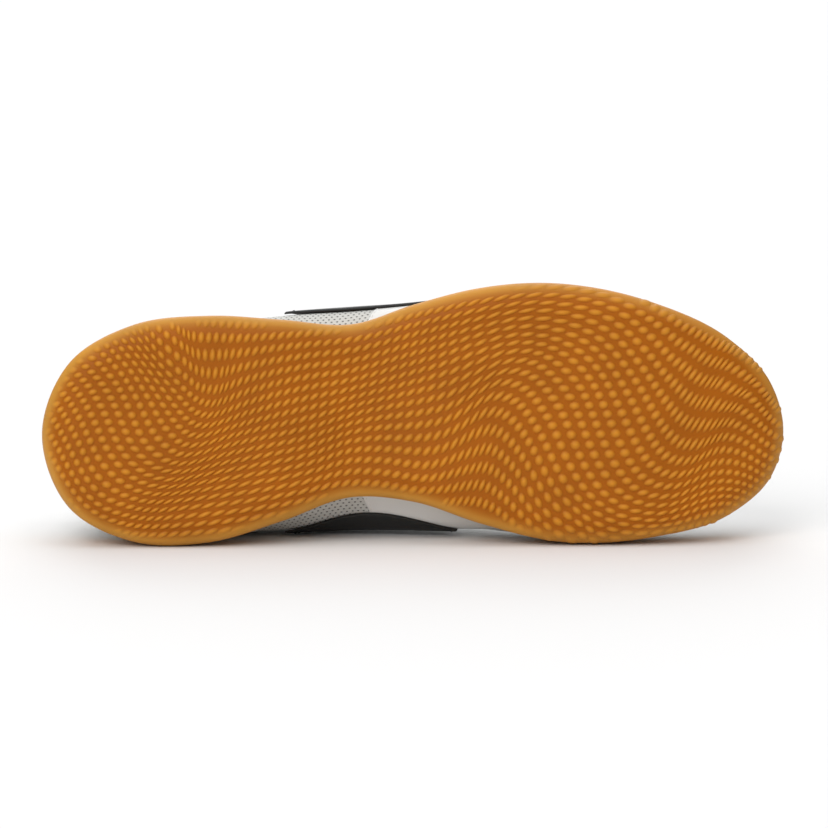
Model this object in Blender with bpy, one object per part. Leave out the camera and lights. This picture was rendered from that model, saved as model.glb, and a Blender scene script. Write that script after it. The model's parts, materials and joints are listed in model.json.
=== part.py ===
"""Indoor soccer shoe for a right foot, lying on its inner side.

The shoe is worked out upright first: +X runs from the heel to the toe, +Y to the
inner (medial) side and +Z up from the ground.  One empty then lays it on its side,
so that the sole faces -Y, the toe points to +X and the floor is at Z = 0.
"""
import math

import bmesh
import bpy
import numpy as np
from mathutils import Matrix

# Driving dimensions, in metres
LENGTH = 0.292
BALL_WIDTH = 0.1016
INSTEP_HEIGHT = 0.077
HEEL_HEIGHT = 0.071
CLEARANCE = 0.0003

# Outsole: a moulded cup of gum rubber
TREAD_EDGE_REACH = 0.010
TREAD_EDGE_RISE = 0.0075
HEEL_FLOOR = 0.009
FOREFOOT_FLOOR = 0.0065
CUP_WALL = 0.0042
CUP_LEAN = 0.0020
GROOVE_DEPTH = 0.0007
RIM_ROUND = 0.0008
HEEL_RIM = 0.027
TOE_SPRING = 0.0085
ARCH_RISE = 0.0028
HEEL_BEVEL = 0.0035

# Upper and what is sewn to it
UPPER_WALL = 0.0020
COLLAR_PADDING = 0.0032
INSOLE_THICKNESS = 0.0045
TONGUE_THICKNESS = 0.0036
TONGUE_WING = 0.010
TONGUE_LENGTH = 0.024
TONGUE_ROUNDING = 0.6
OVERLAY_THICKNESS = 0.0010
OVERLAY_GAP = 0.0006
EYESTAY_WIDTH = 0.0105
EYESTAY_THICKNESS = 0.0012
EYELET_RADIUS = 0.0021
EYELET_PAIRS = 6
EYELET_SIDES = 8
EYELET_DEPTH = 0.55
PUNCH_REACH = 0.005
LACE_WIDTH = 0.0062
LACE_THICKNESS = 0.0016
LACE_STACK = 0.72
LACE_RINGS = 9
# A bar bends over the throat's edges at this share of its way, and its ends reach this
# share of its width past the eyelets' middles
LACE_BEND = 0.2
LACE_END = 0.3
# Across the throat, and how far down from the eyestay to the tongue a bar sinks there
LACE_SAG = ((0.0, 0.0), (0.25, 0.3), (0.5, 0.7), (0.75, 0.3), (1.0, 0.0))
# Section of the lace: shares of half its width and of half its thickness
LACE_SECTION = ((1, 0), (0.75, 1), (-0.75, 1), (-1, 0), (-0.75, -1), (0.75, -1))

# Each row is one section, from the heel's middle to the toe's tip.  "along" is a
# share of LENGTH, "inner" and "outer" the sole's half widths as shares of
# BALL_WIDTH, and "rim" the cup's height as a share of HEEL_RIM.
SOLE_COLUMNS = ("along", "inner", "outer", "rim")
SOLE = {
    "heel back": (0.000, -0.005, 0.005, 1.00),
    "heel corner": (0.038, 0.288, 0.277, 0.95),
    "heel side": (0.124, 0.416, 0.422, 0.81),
    "ankle": (0.226, 0.418, 0.457, 0.72),
    "quarter": (0.322, 0.338, 0.442, 0.65),
    "waist": (0.418, 0.244, 0.425, 0.61),
    "instep": (0.500, 0.262, 0.500, 0.61),
    "forepart": (0.589, 0.345, 0.564, 0.63),
    "ball": (0.702, 0.420, 0.583, 0.67),
    "toe side": (0.822, 0.402, 0.512, 0.76),
    "toe corner": (0.925, 0.316, 0.372, 0.91),
    "toe turn": (0.981, 0.176, 0.208, 1.06),
    "toe tip": (1.000, -0.010, 0.010, 1.11),
}

# The upper passes through four lines above the rim.  "along" is a share of LENGTH,
# "inner" and "outer" are shares of BALL_WIDTH, and the heights are shares of
# HEEL_HEIGHT from the heel to the quarter and of INSTEP_HEIGHT from the waist on.
# Only the belly's heights are shares of the way from the rim up to the wall line.
LINE_COLUMNS = ("along", "inner", "outer", "inner height", "outer height")
BELLY = {
    "heel back": (0.005, -0.005, 0.005, 0.44, 0.44),
    "heel corner": (0.042, 0.246, 0.256, 0.45, 0.45),
    "heel side": (0.127, 0.369, 0.379, 0.49, 0.49),
    "ankle": (0.229, 0.390, 0.428, 0.48, 0.48),
    "quarter": (0.325, 0.372, 0.460, 0.52, 0.475),
    "waist": (0.418, 0.352, 0.478, 0.48, 0.46),
    "instep": (0.500, 0.356, 0.497, 0.44, 0.39),
    "forepart": (0.589, 0.368, 0.530, 0.43, 0.36),
    "ball": (0.699, 0.388, 0.546, 0.43, 0.365),
    "toe side": (0.815, 0.367, 0.478, 0.44, 0.375),
    "toe corner": (0.914, 0.285, 0.335, 0.435, 0.385),
    "toe turn": (0.966, 0.162, 0.182, 0.42, 0.37),
    "toe tip": (0.985, -0.010, 0.010, 0.42, 0.42),
}
WALL = {
    "heel back": (0.010, -0.005, 0.005, 0.70, 0.70),
    "heel corner": (0.044, 0.227, 0.236, 0.69, 0.69),
    "heel side": (0.127, 0.344, 0.354, 0.62, 0.62),
    "ankle": (0.229, 0.377, 0.399, 0.58, 0.58),
    "quarter": (0.322, 0.350, 0.428, 0.60, 0.59),
    "waist": (0.411, 0.335, 0.443, 0.60, 0.53),
    "instep": (0.490, 0.325, 0.453, 0.57, 0.51),
    "forepart": (0.575, 0.335, 0.473, 0.52, 0.47),
    "ball": (0.682, 0.335, 0.483, 0.48, 0.44),
    "toe side": (0.795, 0.310, 0.424, 0.48, 0.45),
    "toe corner": (0.890, 0.236, 0.286, 0.505, 0.49),
    "toe turn": (0.942, 0.133, 0.153, 0.535, 0.53),
    "toe tip": (0.962, -0.010, 0.010, 0.545, 0.545),
}
SHOULDER = {
    "heel back": (0.019, -0.005, 0.005, 0.87, 0.87),
    "heel corner": (0.050, 0.202, 0.212, 0.85, 0.85),
    "heel side": (0.127, 0.315, 0.325, 0.76, 0.76),
    "ankle": (0.229, 0.366, 0.364, 0.72, 0.72),
    "quarter": (0.318, 0.335, 0.369, 0.76, 0.75),
    "waist": (0.397, 0.276, 0.359, 0.805, 0.73),
    "instep": (0.476, 0.246, 0.350, 0.765, 0.71),
    "forepart": (0.555, 0.241, 0.354, 0.69, 0.65),
    "ball": (0.644, 0.217, 0.345, 0.635, 0.60),
    "toe side": (0.726, 0.167, 0.276, 0.61, 0.59),
    "toe corner": (0.784, 0.103, 0.177, 0.605, 0.59),
    "toe turn": (0.822, 0.039, 0.084, 0.61, 0.607),
    "toe tip": (0.839, -0.025, 0.025, 0.617, 0.617),
}
EDGE = {
    "heel back": (0.031, -0.005, 0.005, 1.00, 1.00),
    "heel corner": (0.060, 0.167, 0.177, 0.97, 0.97),
    "heel side": (0.127, 0.276, 0.286, 0.88, 0.88),
    "ankle": (0.226, 0.325, 0.320, 0.82, 0.81),
    "quarter": (0.312, 0.276, 0.295, 0.88, 0.87),
    "waist": (0.377, 0.187, 0.246, 1.00, 0.98),
    "instep": (0.455, 0.133, 0.221, 0.935, 0.915),
    "forepart": (0.524, 0.103, 0.202, 0.857, 0.838),
    "ball": (0.586, 0.074, 0.182, 0.786, 0.773),
    "toe side": (0.627, 0.039, 0.148, 0.747, 0.740),
    "toe corner": (0.644, 0.000, 0.108, 0.734, 0.731),
    "toe turn": (0.652, -0.030, 0.081, 0.729, 0.727),
    "toe tip": (0.654, -0.054, 0.054, 0.727, 0.727),
}
# Where the tread and the cup's floor bend, as shares of LENGTH
BEVEL_END = 0.075
ARCH_START, ARCH_RUN = 0.30, 0.27
SPRING_START, SPRING_POWER = 0.76, 1.8
FALL_START, FALL_RUN = 0.30, 0.35

# Heights above the upper's outer face
EYESTAY_TOP = CLEARANCE + EYESTAY_THICKNESS
TONGUE_TOP = -(UPPER_WALL + 2 * CLEARANCE)

SECTIONS = tuple(SOLE)
HEEL_SECTIONS = SECTIONS[: SECTIONS.index("waist")]
TURNS = 2 * (len(SECTIONS) - 1)
COLUMNS_PER_SECTION = 3
COLUMN = 1 / COLUMNS_PER_SECTION

# The cup's side, from the tread's rounded edge up to the rim.  "height" is a share of
# the way up and "depth" a share of GROOVE_DEPTH.
SIDE = ((0.50, 0.0), (0.56, 1.0), (0.70, 1.0), (0.76, 0.0))

# Heights up the upper, as a number: 0 is its seat in the cup, 1 the cup's rim
LEVELS = ("seat", "rim", "belly", "wall", "shoulder", "edge")
EDGE_LEVEL = LEVELS.index("edge")
OUTER_LEVELS = (0.0, 1.0, 1.33, 1.66, 2.0, 2.5, 3.0, 3.5, 4.0, 4.4, 4.75, 5.0)
INNER_LEVELS = (0.0, 1.0, 1.5, 2.0, 2.6, 3.2, 3.8, 4.4, 5.0)
LIP_ROUND = 0.35
# Section numbers and levels at which a normal is read from the surface
NORMAL_STEP = 0.02
# The collar's padding ends after this section, and fades in above this level
PADDING_END = 3.2
PADDING_LOW, PADDING_RUN = 2.6, 1.2
PADDING_THIN, PADDING_THINNING = 4.5, 0.35

# Dark side panel, in sections counted from the heel's middle
PANEL_BACK, PANEL_FRONT = 4.0, 6.67
PANEL_TOP_BACK, PANEL_TOP_FRONT = 5.0, 6.67
PANEL_LOW, PANEL_DIP = 2.0, 0.5
EYESTAY_START = 5.0
EYESTAY_ROWS = (1.0, 0.5, 0.04)
FIRST_EYELET, LAST_EYELET = 5.22, 8.6
# How high the throat's arch rises, and the level that sets its slope at the edges
THROAT_CROWN = 0.8
THROAT_SLOPE = EDGE_LEVEL - 0.1
TONGUE_FRONT = 11.33
TONGUE_WING_POINTS = (0.0, 0.35, 0.7)
TONGUE_NARROWING = (0.94, 0.91, 0.86, 0.74)
TONGUE_TILT = 0.35

SETTLING_STEPS = 20

UPPER_COLOUR = (0.78, 0.79, 0.78)
KNIT_COLOUR = (0.62, 0.64, 0.63)
GUM_COLOUR = (0.62, 0.25, 0.03)
BLACK = (0.015, 0.016, 0.015)
WHITE = (0.80, 0.80, 0.80)


def clear_scene():
    for obj in list(bpy.data.objects):
        bpy.data.objects.remove(obj, do_unlink=True)


def material(name, colour, roughness):
    made = bpy.data.materials.new(name)
    made.use_nodes = True
    shader = made.node_tree.nodes["Principled BSDF"]
    shader.inputs["Base Color"].default_value = (*colour, 1.0)
    shader.inputs["Roughness"].default_value = roughness
    shader.inputs["Metallic"].default_value = 0.0
    return made


def all_round(table, column, outer_column=None):
    """A column's values in the order of the loop: heel, inner side, toe, outer side."""
    names = SOLE_COLUMNS if table is SOLE else LINE_COLUMNS
    inner = [table[s][names.index(column)] for s in SECTIONS]
    outer = [table[s][names.index(outer_column or column)] for s in SECTIONS]
    return np.array(inner + outer[-2:0:-1])


def loop_points(table):
    """The table's line round the shoe, as points in metres without their heights."""
    along = all_round(table, "along") * LENGTH
    across = all_round(table, "inner", "outer") * BALL_WIDTH
    across[len(SECTIONS):] *= -1
    return np.stack([along, across], axis=1)


def knots():
    """Distances round the sole's outline at which the sections stand."""
    points = loop_points(SOLE)
    steps = np.linalg.norm(np.roll(points, -1, axis=0) - points, axis=1)
    return np.concatenate([[0.0], np.cumsum(steps)])


def round_curve(values, at):
    """A smooth closed curve through one value per section, read at section numbers."""
    at = np.asarray(at, float) % TURNS
    values = np.asarray(values, float).reshape(TURNS, -1)
    gaps = np.diff(knots())
    before = np.roll(gaps, 1)
    rise = (np.roll(values, -1, axis=0) - values) / gaps[:, None]
    slope = (np.roll(rise, 1, axis=0) * gaps[:, None] + rise * before[:, None])
    slope /= (gaps + before)[:, None]
    first = np.minimum(at.astype(int), TURNS - 1)
    second = (first + 1) % TURNS
    t = (at - first)[:, None]
    gap = gaps[first][:, None]
    start, end = values[first], values[second]
    return (
        start * (2 * t**3 - 3 * t**2 + 1)
        + end * (3 * t**2 - 2 * t**3)
        + gap * slope[first] * (t**3 - 2 * t**2 + t)
        + gap * slope[second] * (t**3 - t**2)
    )


def rising_curve(stack, at):
    """A smooth open curve up through a stack of points, read at the given levels."""
    at = np.asarray(at, float)
    slope = np.gradient(stack, axis=0)
    slope[0] = stack[1] - stack[0]
    first = np.clip(at.astype(int), 0, len(stack) - 2)
    t = (at - first)[:, None, None]
    return (
        stack[first] * (2 * t**3 - 3 * t**2 + 1)
        + stack[first + 1] * (3 * t**2 - 2 * t**3)
        + slope[first] * (t**3 - 2 * t**2 + t)
        + slope[first + 1] * (t**3 - t**2)
    )


def smooth_step(value):
    t = np.clip(value, 0.0, 1.0)
    return t * t * (3 - 2 * t)


def tread_height(x):
    """Height of the tread: heel bevel, flat heel, arch, flat ball and toe spring."""
    share = np.asarray(x, float) / LENGTH
    bevel = np.clip(1 - share / BEVEL_END, 0, 1) ** 2
    arch = np.sin(np.pi * np.clip((share - ARCH_START) / ARCH_RUN, 0, 1)) ** 2
    spring = np.clip((share - SPRING_START) / (1 - SPRING_START), 0, 1) ** SPRING_POWER
    return bevel * HEEL_BEVEL + arch * ARCH_RISE + spring * TOE_SPRING


def floor_height(x):
    """Height of the cup's floor, thicker under the heel than under the toes."""
    fall = smooth_step((np.asarray(x, float) / LENGTH - FALL_START) / FALL_RUN)
    return tread_height(x) + HEEL_FLOOR + (FOREFOOT_FLOOR - HEEL_FLOOR) * fall


def outline(at, inset):
    """Plan of the sole at section numbers, moved in from its widest line."""
    points = round_curve(loop_points(SOLE), at)
    ahead = round_curve(loop_points(SOLE), np.asarray(at) + NORMAL_STEP / 2)
    behind = round_curve(loop_points(SOLE), np.asarray(at) - NORMAL_STEP / 2)
    run = ahead - behind
    run /= np.linalg.norm(run, axis=1)[:, None]
    return points + inset * np.stack([run[:, 1], -run[:, 0]], axis=1)


def rim_height(at):
    return round_curve(all_round(SOLE, "rim"), at)[:, 0] * HEEL_RIM


def ring(at, inset, height):
    """Points of one ring of the cup.  height is a number or a function of x."""
    plan = outline(at, inset)
    level = height(plan[:, 0]) if callable(height) else height
    return np.column_stack([plan, np.broadcast_to(level, len(plan))])


def line_stack(table, at):
    """A line of the upper at section numbers, as points with their heights."""
    heights = all_round(table, "inner height", "outer height")
    reference = np.full(TURNS, INSTEP_HEIGHT)
    reference[: len(HEEL_SECTIONS)] = HEEL_HEIGHT
    reference[TURNS - len(HEEL_SECTIONS) + 1:] = HEEL_HEIGHT
    plan = round_curve(loop_points(table), at)
    return np.column_stack([plan, round_curve(heights * reference, at)[:, 0]])


def belly_stack(at):
    """The belly's line at section numbers, between the cup's rim and the wall line."""
    plan = round_curve(loop_points(BELLY), at)
    share = round_curve(all_round(BELLY, "inner height", "outer height"), at)[:, 0]
    rim, wall = rim_height(at), line_stack(WALL, at)[:, 2]
    return np.column_stack([plan, rim + (wall - rim) * share])


def upper_grid(at, levels):
    """Outer face of the upper on a grid of levels and section numbers."""
    inset = CUP_WALL + CLEARANCE
    seat = ring(at, inset, lambda x: floor_height(x) + CLEARANCE)
    rim = ring(at, inset, rim_height(at) + CLEARANCE)
    lines = [line_stack(table, at) for table in (WALL, SHOULDER, EDGE)]
    return rising_curve(np.array([seat, rim, belly_stack(at), *lines]), levels)


def upper_point(at, level, offset=0.0):
    """Points of the upper's outer face, moved out along its normal by offset."""
    at = np.atleast_1d(np.asarray(at, float))
    level = np.broadcast_to(np.asarray(level, float), at.shape)
    found = []
    for a, lv in zip(at, level):
        low, high = max(lv - NORMAL_STEP, 0.0), min(lv + NORMAL_STEP, float(EDGE_LEVEL))
        grid = upper_grid([a - NORMAL_STEP, a, a + NORMAL_STEP], [low, lv, high])
        across = grid[1, 2] - grid[1, 0]
        up = grid[2, 1] - grid[0, 1]
        normal = np.cross(up, across)
        normal /= np.linalg.norm(normal)
        found.append(grid[1, 1] + normal * offset)
    return np.array(found)


def level_below_edge(at, width):
    """The level at which a strip of that width below the upper's edge ends."""
    at = np.atleast_1d(np.asarray(at, float))
    edge, shoulder = line_stack(EDGE, at), line_stack(SHOULDER, at)
    return EDGE_LEVEL - width / np.linalg.norm(edge - shoulder, axis=1)


def add_object(name, points, faces, finish):
    mesh = bpy.data.meshes.new(name)
    mesh.from_pydata([tuple(p) for p in points], [], faces)
    work = bmesh.new()
    work.from_mesh(mesh)
    bmesh.ops.recalc_face_normals(work, faces=work.faces)
    if work.calc_volume(signed=True) < 0:
        bmesh.ops.reverse_faces(work, faces=work.faces)
    work.to_mesh(mesh)
    work.free()
    mesh.shade_smooth()
    mesh.set_sharp_from_angle(angle=math.radians(50))
    mesh.materials.append(finish)
    obj = bpy.data.objects.new(name, mesh)
    bpy.context.scene.collection.objects.link(obj)
    return obj


def strips(rows, count, closed=True):
    """Quads between successive rows of points, each row holding count points."""
    ends = range(count if closed else count - 1)
    return [
        (r * count + c, r * count + (c + 1) % count,
         (r + 1) * count + (c + 1) % count, (r + 1) * count + c)
        for r in range(rows - 1)
        for c in ends
    ]


def ladder(first, count):
    """A cap over a ring: rungs from its inner side to its outer side."""
    half = count // 2
    faces = [(first, first + 1, first + count - 1)]
    faces += [
        (first + k, first + k + 1, first + count - k - 1, first + count - k)
        for k in range(1, half - 1)
    ]
    faces.append((first + half - 1, first + half, first + half + 1))
    return faces


def capped(name, rings, finish):
    """A solid from a stack of rings, with a ladder cap over the first and the last."""
    count = len(rings[0])
    faces = strips(len(rings), count)
    faces += ladder(0, count) + ladder((len(rings) - 1) * count, count)
    return add_object(name, np.concatenate(rings), faces, finish)


def patch(name, outer, inner, finish):
    """A sheet from two grids of points, closed round its four edges."""
    rows, count = outer.shape[:2]
    size = rows * count
    faces = strips(rows, count, closed=False)
    faces += [tuple(i + size for i in reversed(f)) for f in faces]
    border = list(range(count))
    border += [r * count + count - 1 for r in range(1, rows)]
    border += [(rows - 1) * count + c for c in range(count - 2, -1, -1)]
    border += [r * count for r in range(rows - 2, 0, -1)]
    for a, b in zip(border, border[1:] + border[:1]):
        faces.append((a, b, b + size, a + size))
    points = np.concatenate([outer.reshape(-1, 3), inner.reshape(-1, 3)])
    return add_object(name, points, faces, finish)


def build_outsole(at, finish):
    """The cup: rounded tread edge, side wall, rim and floor, as one solid."""
    rings = []
    for angle in np.radians([0, 22.5, 45, 67.5, 90]):
        inset = TREAD_EDGE_REACH * (1 - math.sin(angle))
        lift = TREAD_EDGE_RISE * (1 - math.cos(angle))
        rings.append(ring(at, inset, lambda x, up=lift: tread_height(x) + up))
    rim = rim_height(at)
    low = rings[-1][:, 2]
    high = rim - RIM_ROUND
    for share, depth in (*SIDE, (1.0, 0.0)):
        inset = CUP_LEAN * share + GROOVE_DEPTH * depth
        rings.append(ring(at, inset, low + (high - low) * share))
    rings.append(ring(at, CUP_LEAN + RIM_ROUND, rim))
    rings.append(ring(at, CUP_WALL - RIM_ROUND / 2, rim))
    rings.append(ring(at, CUP_WALL, rim - RIM_ROUND / 2))
    rings.append(ring(at, CUP_WALL, floor_height))
    return capped("outsole", rings, finish)


def build_insole(at, finish):
    """The sock liner, which lies on the cup's floor inside the upper."""
    inset = CUP_WALL + UPPER_WALL + 4 * CLEARANCE
    soft = INSOLE_THICKNESS / 4
    base = CLEARANCE
    rings = [
        ring(at, inset + soft, lambda x: floor_height(x) + base),
        ring(at, inset, lambda x: floor_height(x) + base + soft),
        ring(at, inset, lambda x: floor_height(x) + INSOLE_THICKNESS - soft),
        ring(at, inset + soft, lambda x: floor_height(x) + INSOLE_THICKNESS),
    ]
    return capped("insole", rings, finish)


def grid_normals(grid):
    """Outward normals of a grid of the upper that closes round the shoe."""
    across = np.roll(grid, -1, axis=1) - np.roll(grid, 1, axis=1)
    up = np.gradient(grid, axis=0)
    normal = np.cross(up, across)
    return normal / np.linalg.norm(normal, axis=2)[:, :, None]


def padding(at, levels):
    """Extra thickness inside the collar, round the heel and the ankle."""
    at = np.asarray(at) % TURNS
    from_heel = np.minimum(at, TURNS - at)
    levels = np.asarray(levels)
    round_ankle = 1 - smooth_step(from_heel - PADDING_END)
    near_edge = smooth_step((levels - PADDING_LOW) / PADDING_RUN)
    thinner = smooth_step((levels - PADDING_THIN) / (EDGE_LEVEL - PADDING_THIN))
    near_edge = near_edge * (1 - PADDING_THINNING * thinner)
    return COLLAR_PADDING * near_edge[:, None] * round_ankle[None, :]


def build_upper(at, finish):
    """One hollow shell, open at the collar and throat and underneath."""
    outer = upper_grid(at, OUTER_LEVELS)
    lining = upper_grid(at, INNER_LEVELS)
    thick = UPPER_WALL + padding(at, INNER_LEVELS)
    inner = lining - grid_normals(lining) * thick[:, :, None]
    inner[0, :, 2] = lining[0, :, 2]
    up = outer[-1] - outer[-2]
    up /= np.linalg.norm(up, axis=1)[:, None]
    lip = (outer[-1] + inner[-1]) / 2 + up * thick[-1][:, None] * LIP_ROUND
    rows = [*outer, lip, *inner[::-1]]
    count = len(at)
    faces = strips(len(rows), count)
    last = (len(rows) - 1) * count
    faces += [(last + c, last + (c + 1) % count, (c + 1) % count, c)
              for c in range(count)]
    return add_object("upper", np.concatenate(rows), faces, finish)


def panel_grid(side, offset, across=9, up=12):
    """Face of a side panel.  side is 1 on the inner side and -1 on the outer."""
    grid = np.zeros((up, across, 3))
    for row, high in enumerate(np.linspace(0, 1, up)):
        back = PANEL_BACK + (PANEL_TOP_BACK - PANEL_BACK) * high
        front = PANEL_FRONT + (PANEL_TOP_FRONT - PANEL_FRONT) * high
        along = np.linspace(0, 1, across)
        at = back + (front - back) * along
        low = PANEL_LOW - PANEL_DIP * (1 - (2 * along - 1) ** 2)
        if side < 0:
            at = TURNS - at
        top = level_below_edge(at, EYESTAY_WIDTH + 2 * CLEARANCE)
        grid[row] = upper_point(at, low + (top - low) * high, offset)
    return grid


def build_panel(name, side, finish):
    """A dark saddle panel, laid on the upper from above the sole to the eyestay."""
    inner = panel_grid(side, OVERLAY_GAP)
    outer = panel_grid(side, OVERLAY_GAP + OVERLAY_THICKNESS)
    return patch(name, outer, inner, finish)


def build_eyestay(finish):
    """The U-shaped stay round the throat, which holds the eyelets."""
    at = np.arange(EYESTAY_START, TURNS - EYESTAY_START + COLUMN / 2, COLUMN)
    grids = []
    for offset in (EYESTAY_TOP, CLEARANCE):
        rows = [
            upper_point(at, level_below_edge(at, EYESTAY_WIDTH * share), offset)
            for share in EYESTAY_ROWS
        ]
        grids.append(np.array(rows))
    return patch("eyestay", grids[0], grids[1], finish)


def across_throat(at, shares, offset=0.0):
    """Points of the arch that closes the throat, from the inner edge to the outer."""
    inner = upper_point([at], EDGE_LEVEL, offset)[0]
    outer = upper_point([TURNS - at], EDGE_LEVEL, offset)[0]
    inner_low = upper_point([at], THROAT_SLOPE, offset)[0]
    outer_low = upper_point([TURNS - at], THROAT_SLOPE, offset)[0]
    reach = np.linalg.norm(outer - inner) * THROAT_CROWN
    rise_in = (inner - inner_low) / np.linalg.norm(inner - inner_low) * reach
    rise_out = (outer_low - outer) / np.linalg.norm(outer - outer_low) * reach
    t = np.asarray(shares, float)[:, None]
    return (
        inner * (2 * t**3 - 3 * t**2 + 1)
        + outer * (3 * t**2 - 2 * t**3)
        + rise_in * (t**3 - 2 * t**2 + t)
        + rise_out * (t**3 - t**2)
    )


def tongue_row(at, offset):
    """One row of the tongue: a wing, the arch over the throat and a wing."""
    wing = level_below_edge([at, TURNS - at], TONGUE_WING)
    shares = np.array(TONGUE_WING_POINTS)
    inner = upper_point(np.full(len(shares), at),
                        wing[0] + (EDGE_LEVEL - wing[0]) * shares, offset)
    outer = upper_point(np.full(len(shares), TURNS - at),
                        wing[1] + (EDGE_LEVEL - wing[1]) * shares, offset)
    arch = across_throat(at, np.linspace(0.0, 1.0, 7), offset)
    return np.concatenate([inner, arch, outer[::-1]])


def tongue_face(offset):
    """A face of the tongue, from under the vamp to its free end above the collar."""
    places = np.arange(TONGUE_FRONT, EYESTAY_START - COLUMN / 2, -COLUMN)
    rows = [tongue_row(at, offset) for at in places]
    run = rows[-1].mean(axis=0) - rows[-3].mean(axis=0)
    run /= np.linalg.norm(run)
    free = TONGUE_LENGTH / len(TONGUE_NARROWING)
    last = rows[-1]
    side = np.linspace(-1, 1, len(last))[:, None]
    for number, width in enumerate(TONGUE_NARROWING, start=1):
        share = number / len(TONGUE_NARROWING)
        heading = run + np.array([0.0, 0.0, TONGUE_TILT * share])
        step = free * (1 - TONGUE_ROUNDING * share**2 * side**2)
        last = last + heading / np.linalg.norm(heading) * step
        middle = last.mean(axis=0)
        narrow = middle + (last - middle) * np.array([1.0, width, width])
        rows.append(narrow)
    return np.array(rows)


def build_tongue(finish):
    """The tongue lies under the eyestay and stands up behind the top eyelets."""
    top, under = TONGUE_TOP, TONGUE_TOP - TONGUE_THICKNESS
    return patch("tongue", tongue_face(top), tongue_face(under), finish)


def eyelet_places():
    """Section numbers of the eyelets, at equal distances along the inner edge."""
    at = np.linspace(FIRST_EYELET, LAST_EYELET, 60)
    line = line_stack(EDGE, at)
    steps = np.linalg.norm(np.diff(line, axis=0), axis=1)
    run = np.concatenate([[0.0], np.cumsum(steps)])
    return np.interp(np.linspace(0, run[-1], EYELET_PAIRS), run, at)


def eyelet_level(at):
    return level_below_edge([at], EYESTAY_WIDTH * EYELET_DEPTH)[0]


def punch_rings(at):
    """Two rings of points, under and over an eyelet, square to the upper there."""
    level = eyelet_level(at)
    under, over = (upper_point([at], level, way)[0] for way in (-PUNCH_REACH, PUNCH_REACH))
    side = np.cross(over - under, [1.0, 0.0, 0.0])
    side /= np.linalg.norm(side)
    other = np.cross((over - under) / np.linalg.norm(over - under), side)
    turn = np.arange(EYELET_SIDES) * 2 * math.pi / EYELET_SIDES
    circle = EYELET_RADIUS * (np.cos(turn)[:, None] * side + np.sin(turn)[:, None] * other)
    return np.concatenate([under + circle, over + circle])


def cut_eyelets(targets, finish):
    """Punches the eyelets through the eyestay and the upper behind it."""
    points, faces = [], []
    for place in eyelet_places():
        for at in (place, TURNS - place):
            first = len(points) * 2 * EYELET_SIDES
            rod = strips(2, EYELET_SIDES)
            rod += [tuple(range(EYELET_SIDES)), tuple(range(EYELET_SIDES, 2 * EYELET_SIDES))]
            faces += [tuple(first + i for i in face) for face in rod]
            points.append(punch_rings(at))
    punches = add_object("eyelet_punches", np.concatenate(points), faces, finish)
    punches.hide_render = True
    punches.display_type = "WIRE"
    for target in targets:
        cut = target.modifiers.new("eyelets", "BOOLEAN")
        cut.operation = "DIFFERENCE"
        cut.solver = "EXACT"
        cut.object = punches


def lace_line(first, second, lift):
    """Middle line of a bar, from an inner eyelet over the tongue to an outer one."""
    near = first + (second - first) * LACE_BEND
    far = second + (first - second) * LACE_BEND
    stops = [upper_point([first], eyelet_level(first), EYESTAY_TOP + lift)[0]]
    for share, sag in LACE_SAG:
        base = EYESTAY_TOP + (TONGUE_TOP - EYESTAY_TOP) * sag
        place = near + (far - near) * share
        stops.append(across_throat(place, [share], base + lift)[0])
    last = TURNS - second
    stops.append(upper_point([last], eyelet_level(last), EYESTAY_TOP + lift)[0])
    levels = np.linspace(0, len(stops) - 1, LACE_RINGS)
    return rising_curve(np.array(stops)[:, None, :], levels)[:, 0]


def build_lace_bar(name, first, second, lift, finish):
    """A flat lace bar: an oval section swept along its middle line."""
    path = lace_line(first, second, lift)
    top = lace_line(first, second, lift + LACE_THICKNESS) - path
    run = np.gradient(path, axis=0)
    run /= np.linalg.norm(run, axis=1)[:, None]
    reach = LACE_WIDTH * LACE_END
    path = np.vstack([path[0] - run[0] * reach, path, path[-1] + run[-1] * reach])
    run = np.vstack([run[0], run, run[-1]])
    top = np.vstack([top[0], top, top[-1]])
    side = np.cross(top, run)
    side /= np.linalg.norm(side, axis=1)[:, None]
    top = np.cross(run, side)
    across = LACE_WIDTH / 2 * np.array(LACE_SECTION)[:, :1]
    upward = LACE_THICKNESS / 2 * np.array(LACE_SECTION)[:, 1:]
    rows = [c + across * s + upward * t for c, s, t in zip(path, side, top)]
    count = len(LACE_SECTION)
    faces = strips(len(rows), count)
    faces += [tuple(range(count))]
    faces += [tuple(range((len(rows) - 1) * count, len(rows) * count))]
    return add_object(name, np.concatenate(rows), faces, finish)


def build_laces(finish):
    """Crossed bars between the eyelet rows, joined into one net."""
    places = eyelet_places()
    lift = 2 * CLEARANCE + LACE_THICKNESS / 2
    above = lift + LACE_THICKNESS * LACE_STACK
    bars = [build_lace_bar("laces", places[-1], places[-1], lift, finish)]
    for number in range(EYELET_PAIRS - 1):
        high_end, low_end = places[number], places[number + 1]
        bars.append(build_lace_bar(f"bar_{number}_a", high_end, low_end, lift, finish))
        bars.append(build_lace_bar(f"bar_{number}_b", low_end, high_end, above, finish))
    net = bars[0]
    for bar in reversed(bars[1:]):
        bar.hide_render = True
        bar.display_type = "WIRE"
        join = net.modifiers.new(bar.name, "BOOLEAN")
        join.operation = "UNION"
        join.solver = "EXACT"
        join.object = bar
    return net


def pose(roll, yaw):
    """Turn that lays the upright shoe on its inner side."""
    on_side = Matrix.Rotation(-math.pi / 2 - roll, 4, "X")
    return on_side @ Matrix.Rotation(-yaw, 4, "Z")


def lowest(points, turn):
    """The lowest of some points once they are turned."""
    turned = points @ np.array(turn)[:3, :3].T
    return turned[turned[:, 2].argmin()]


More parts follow.
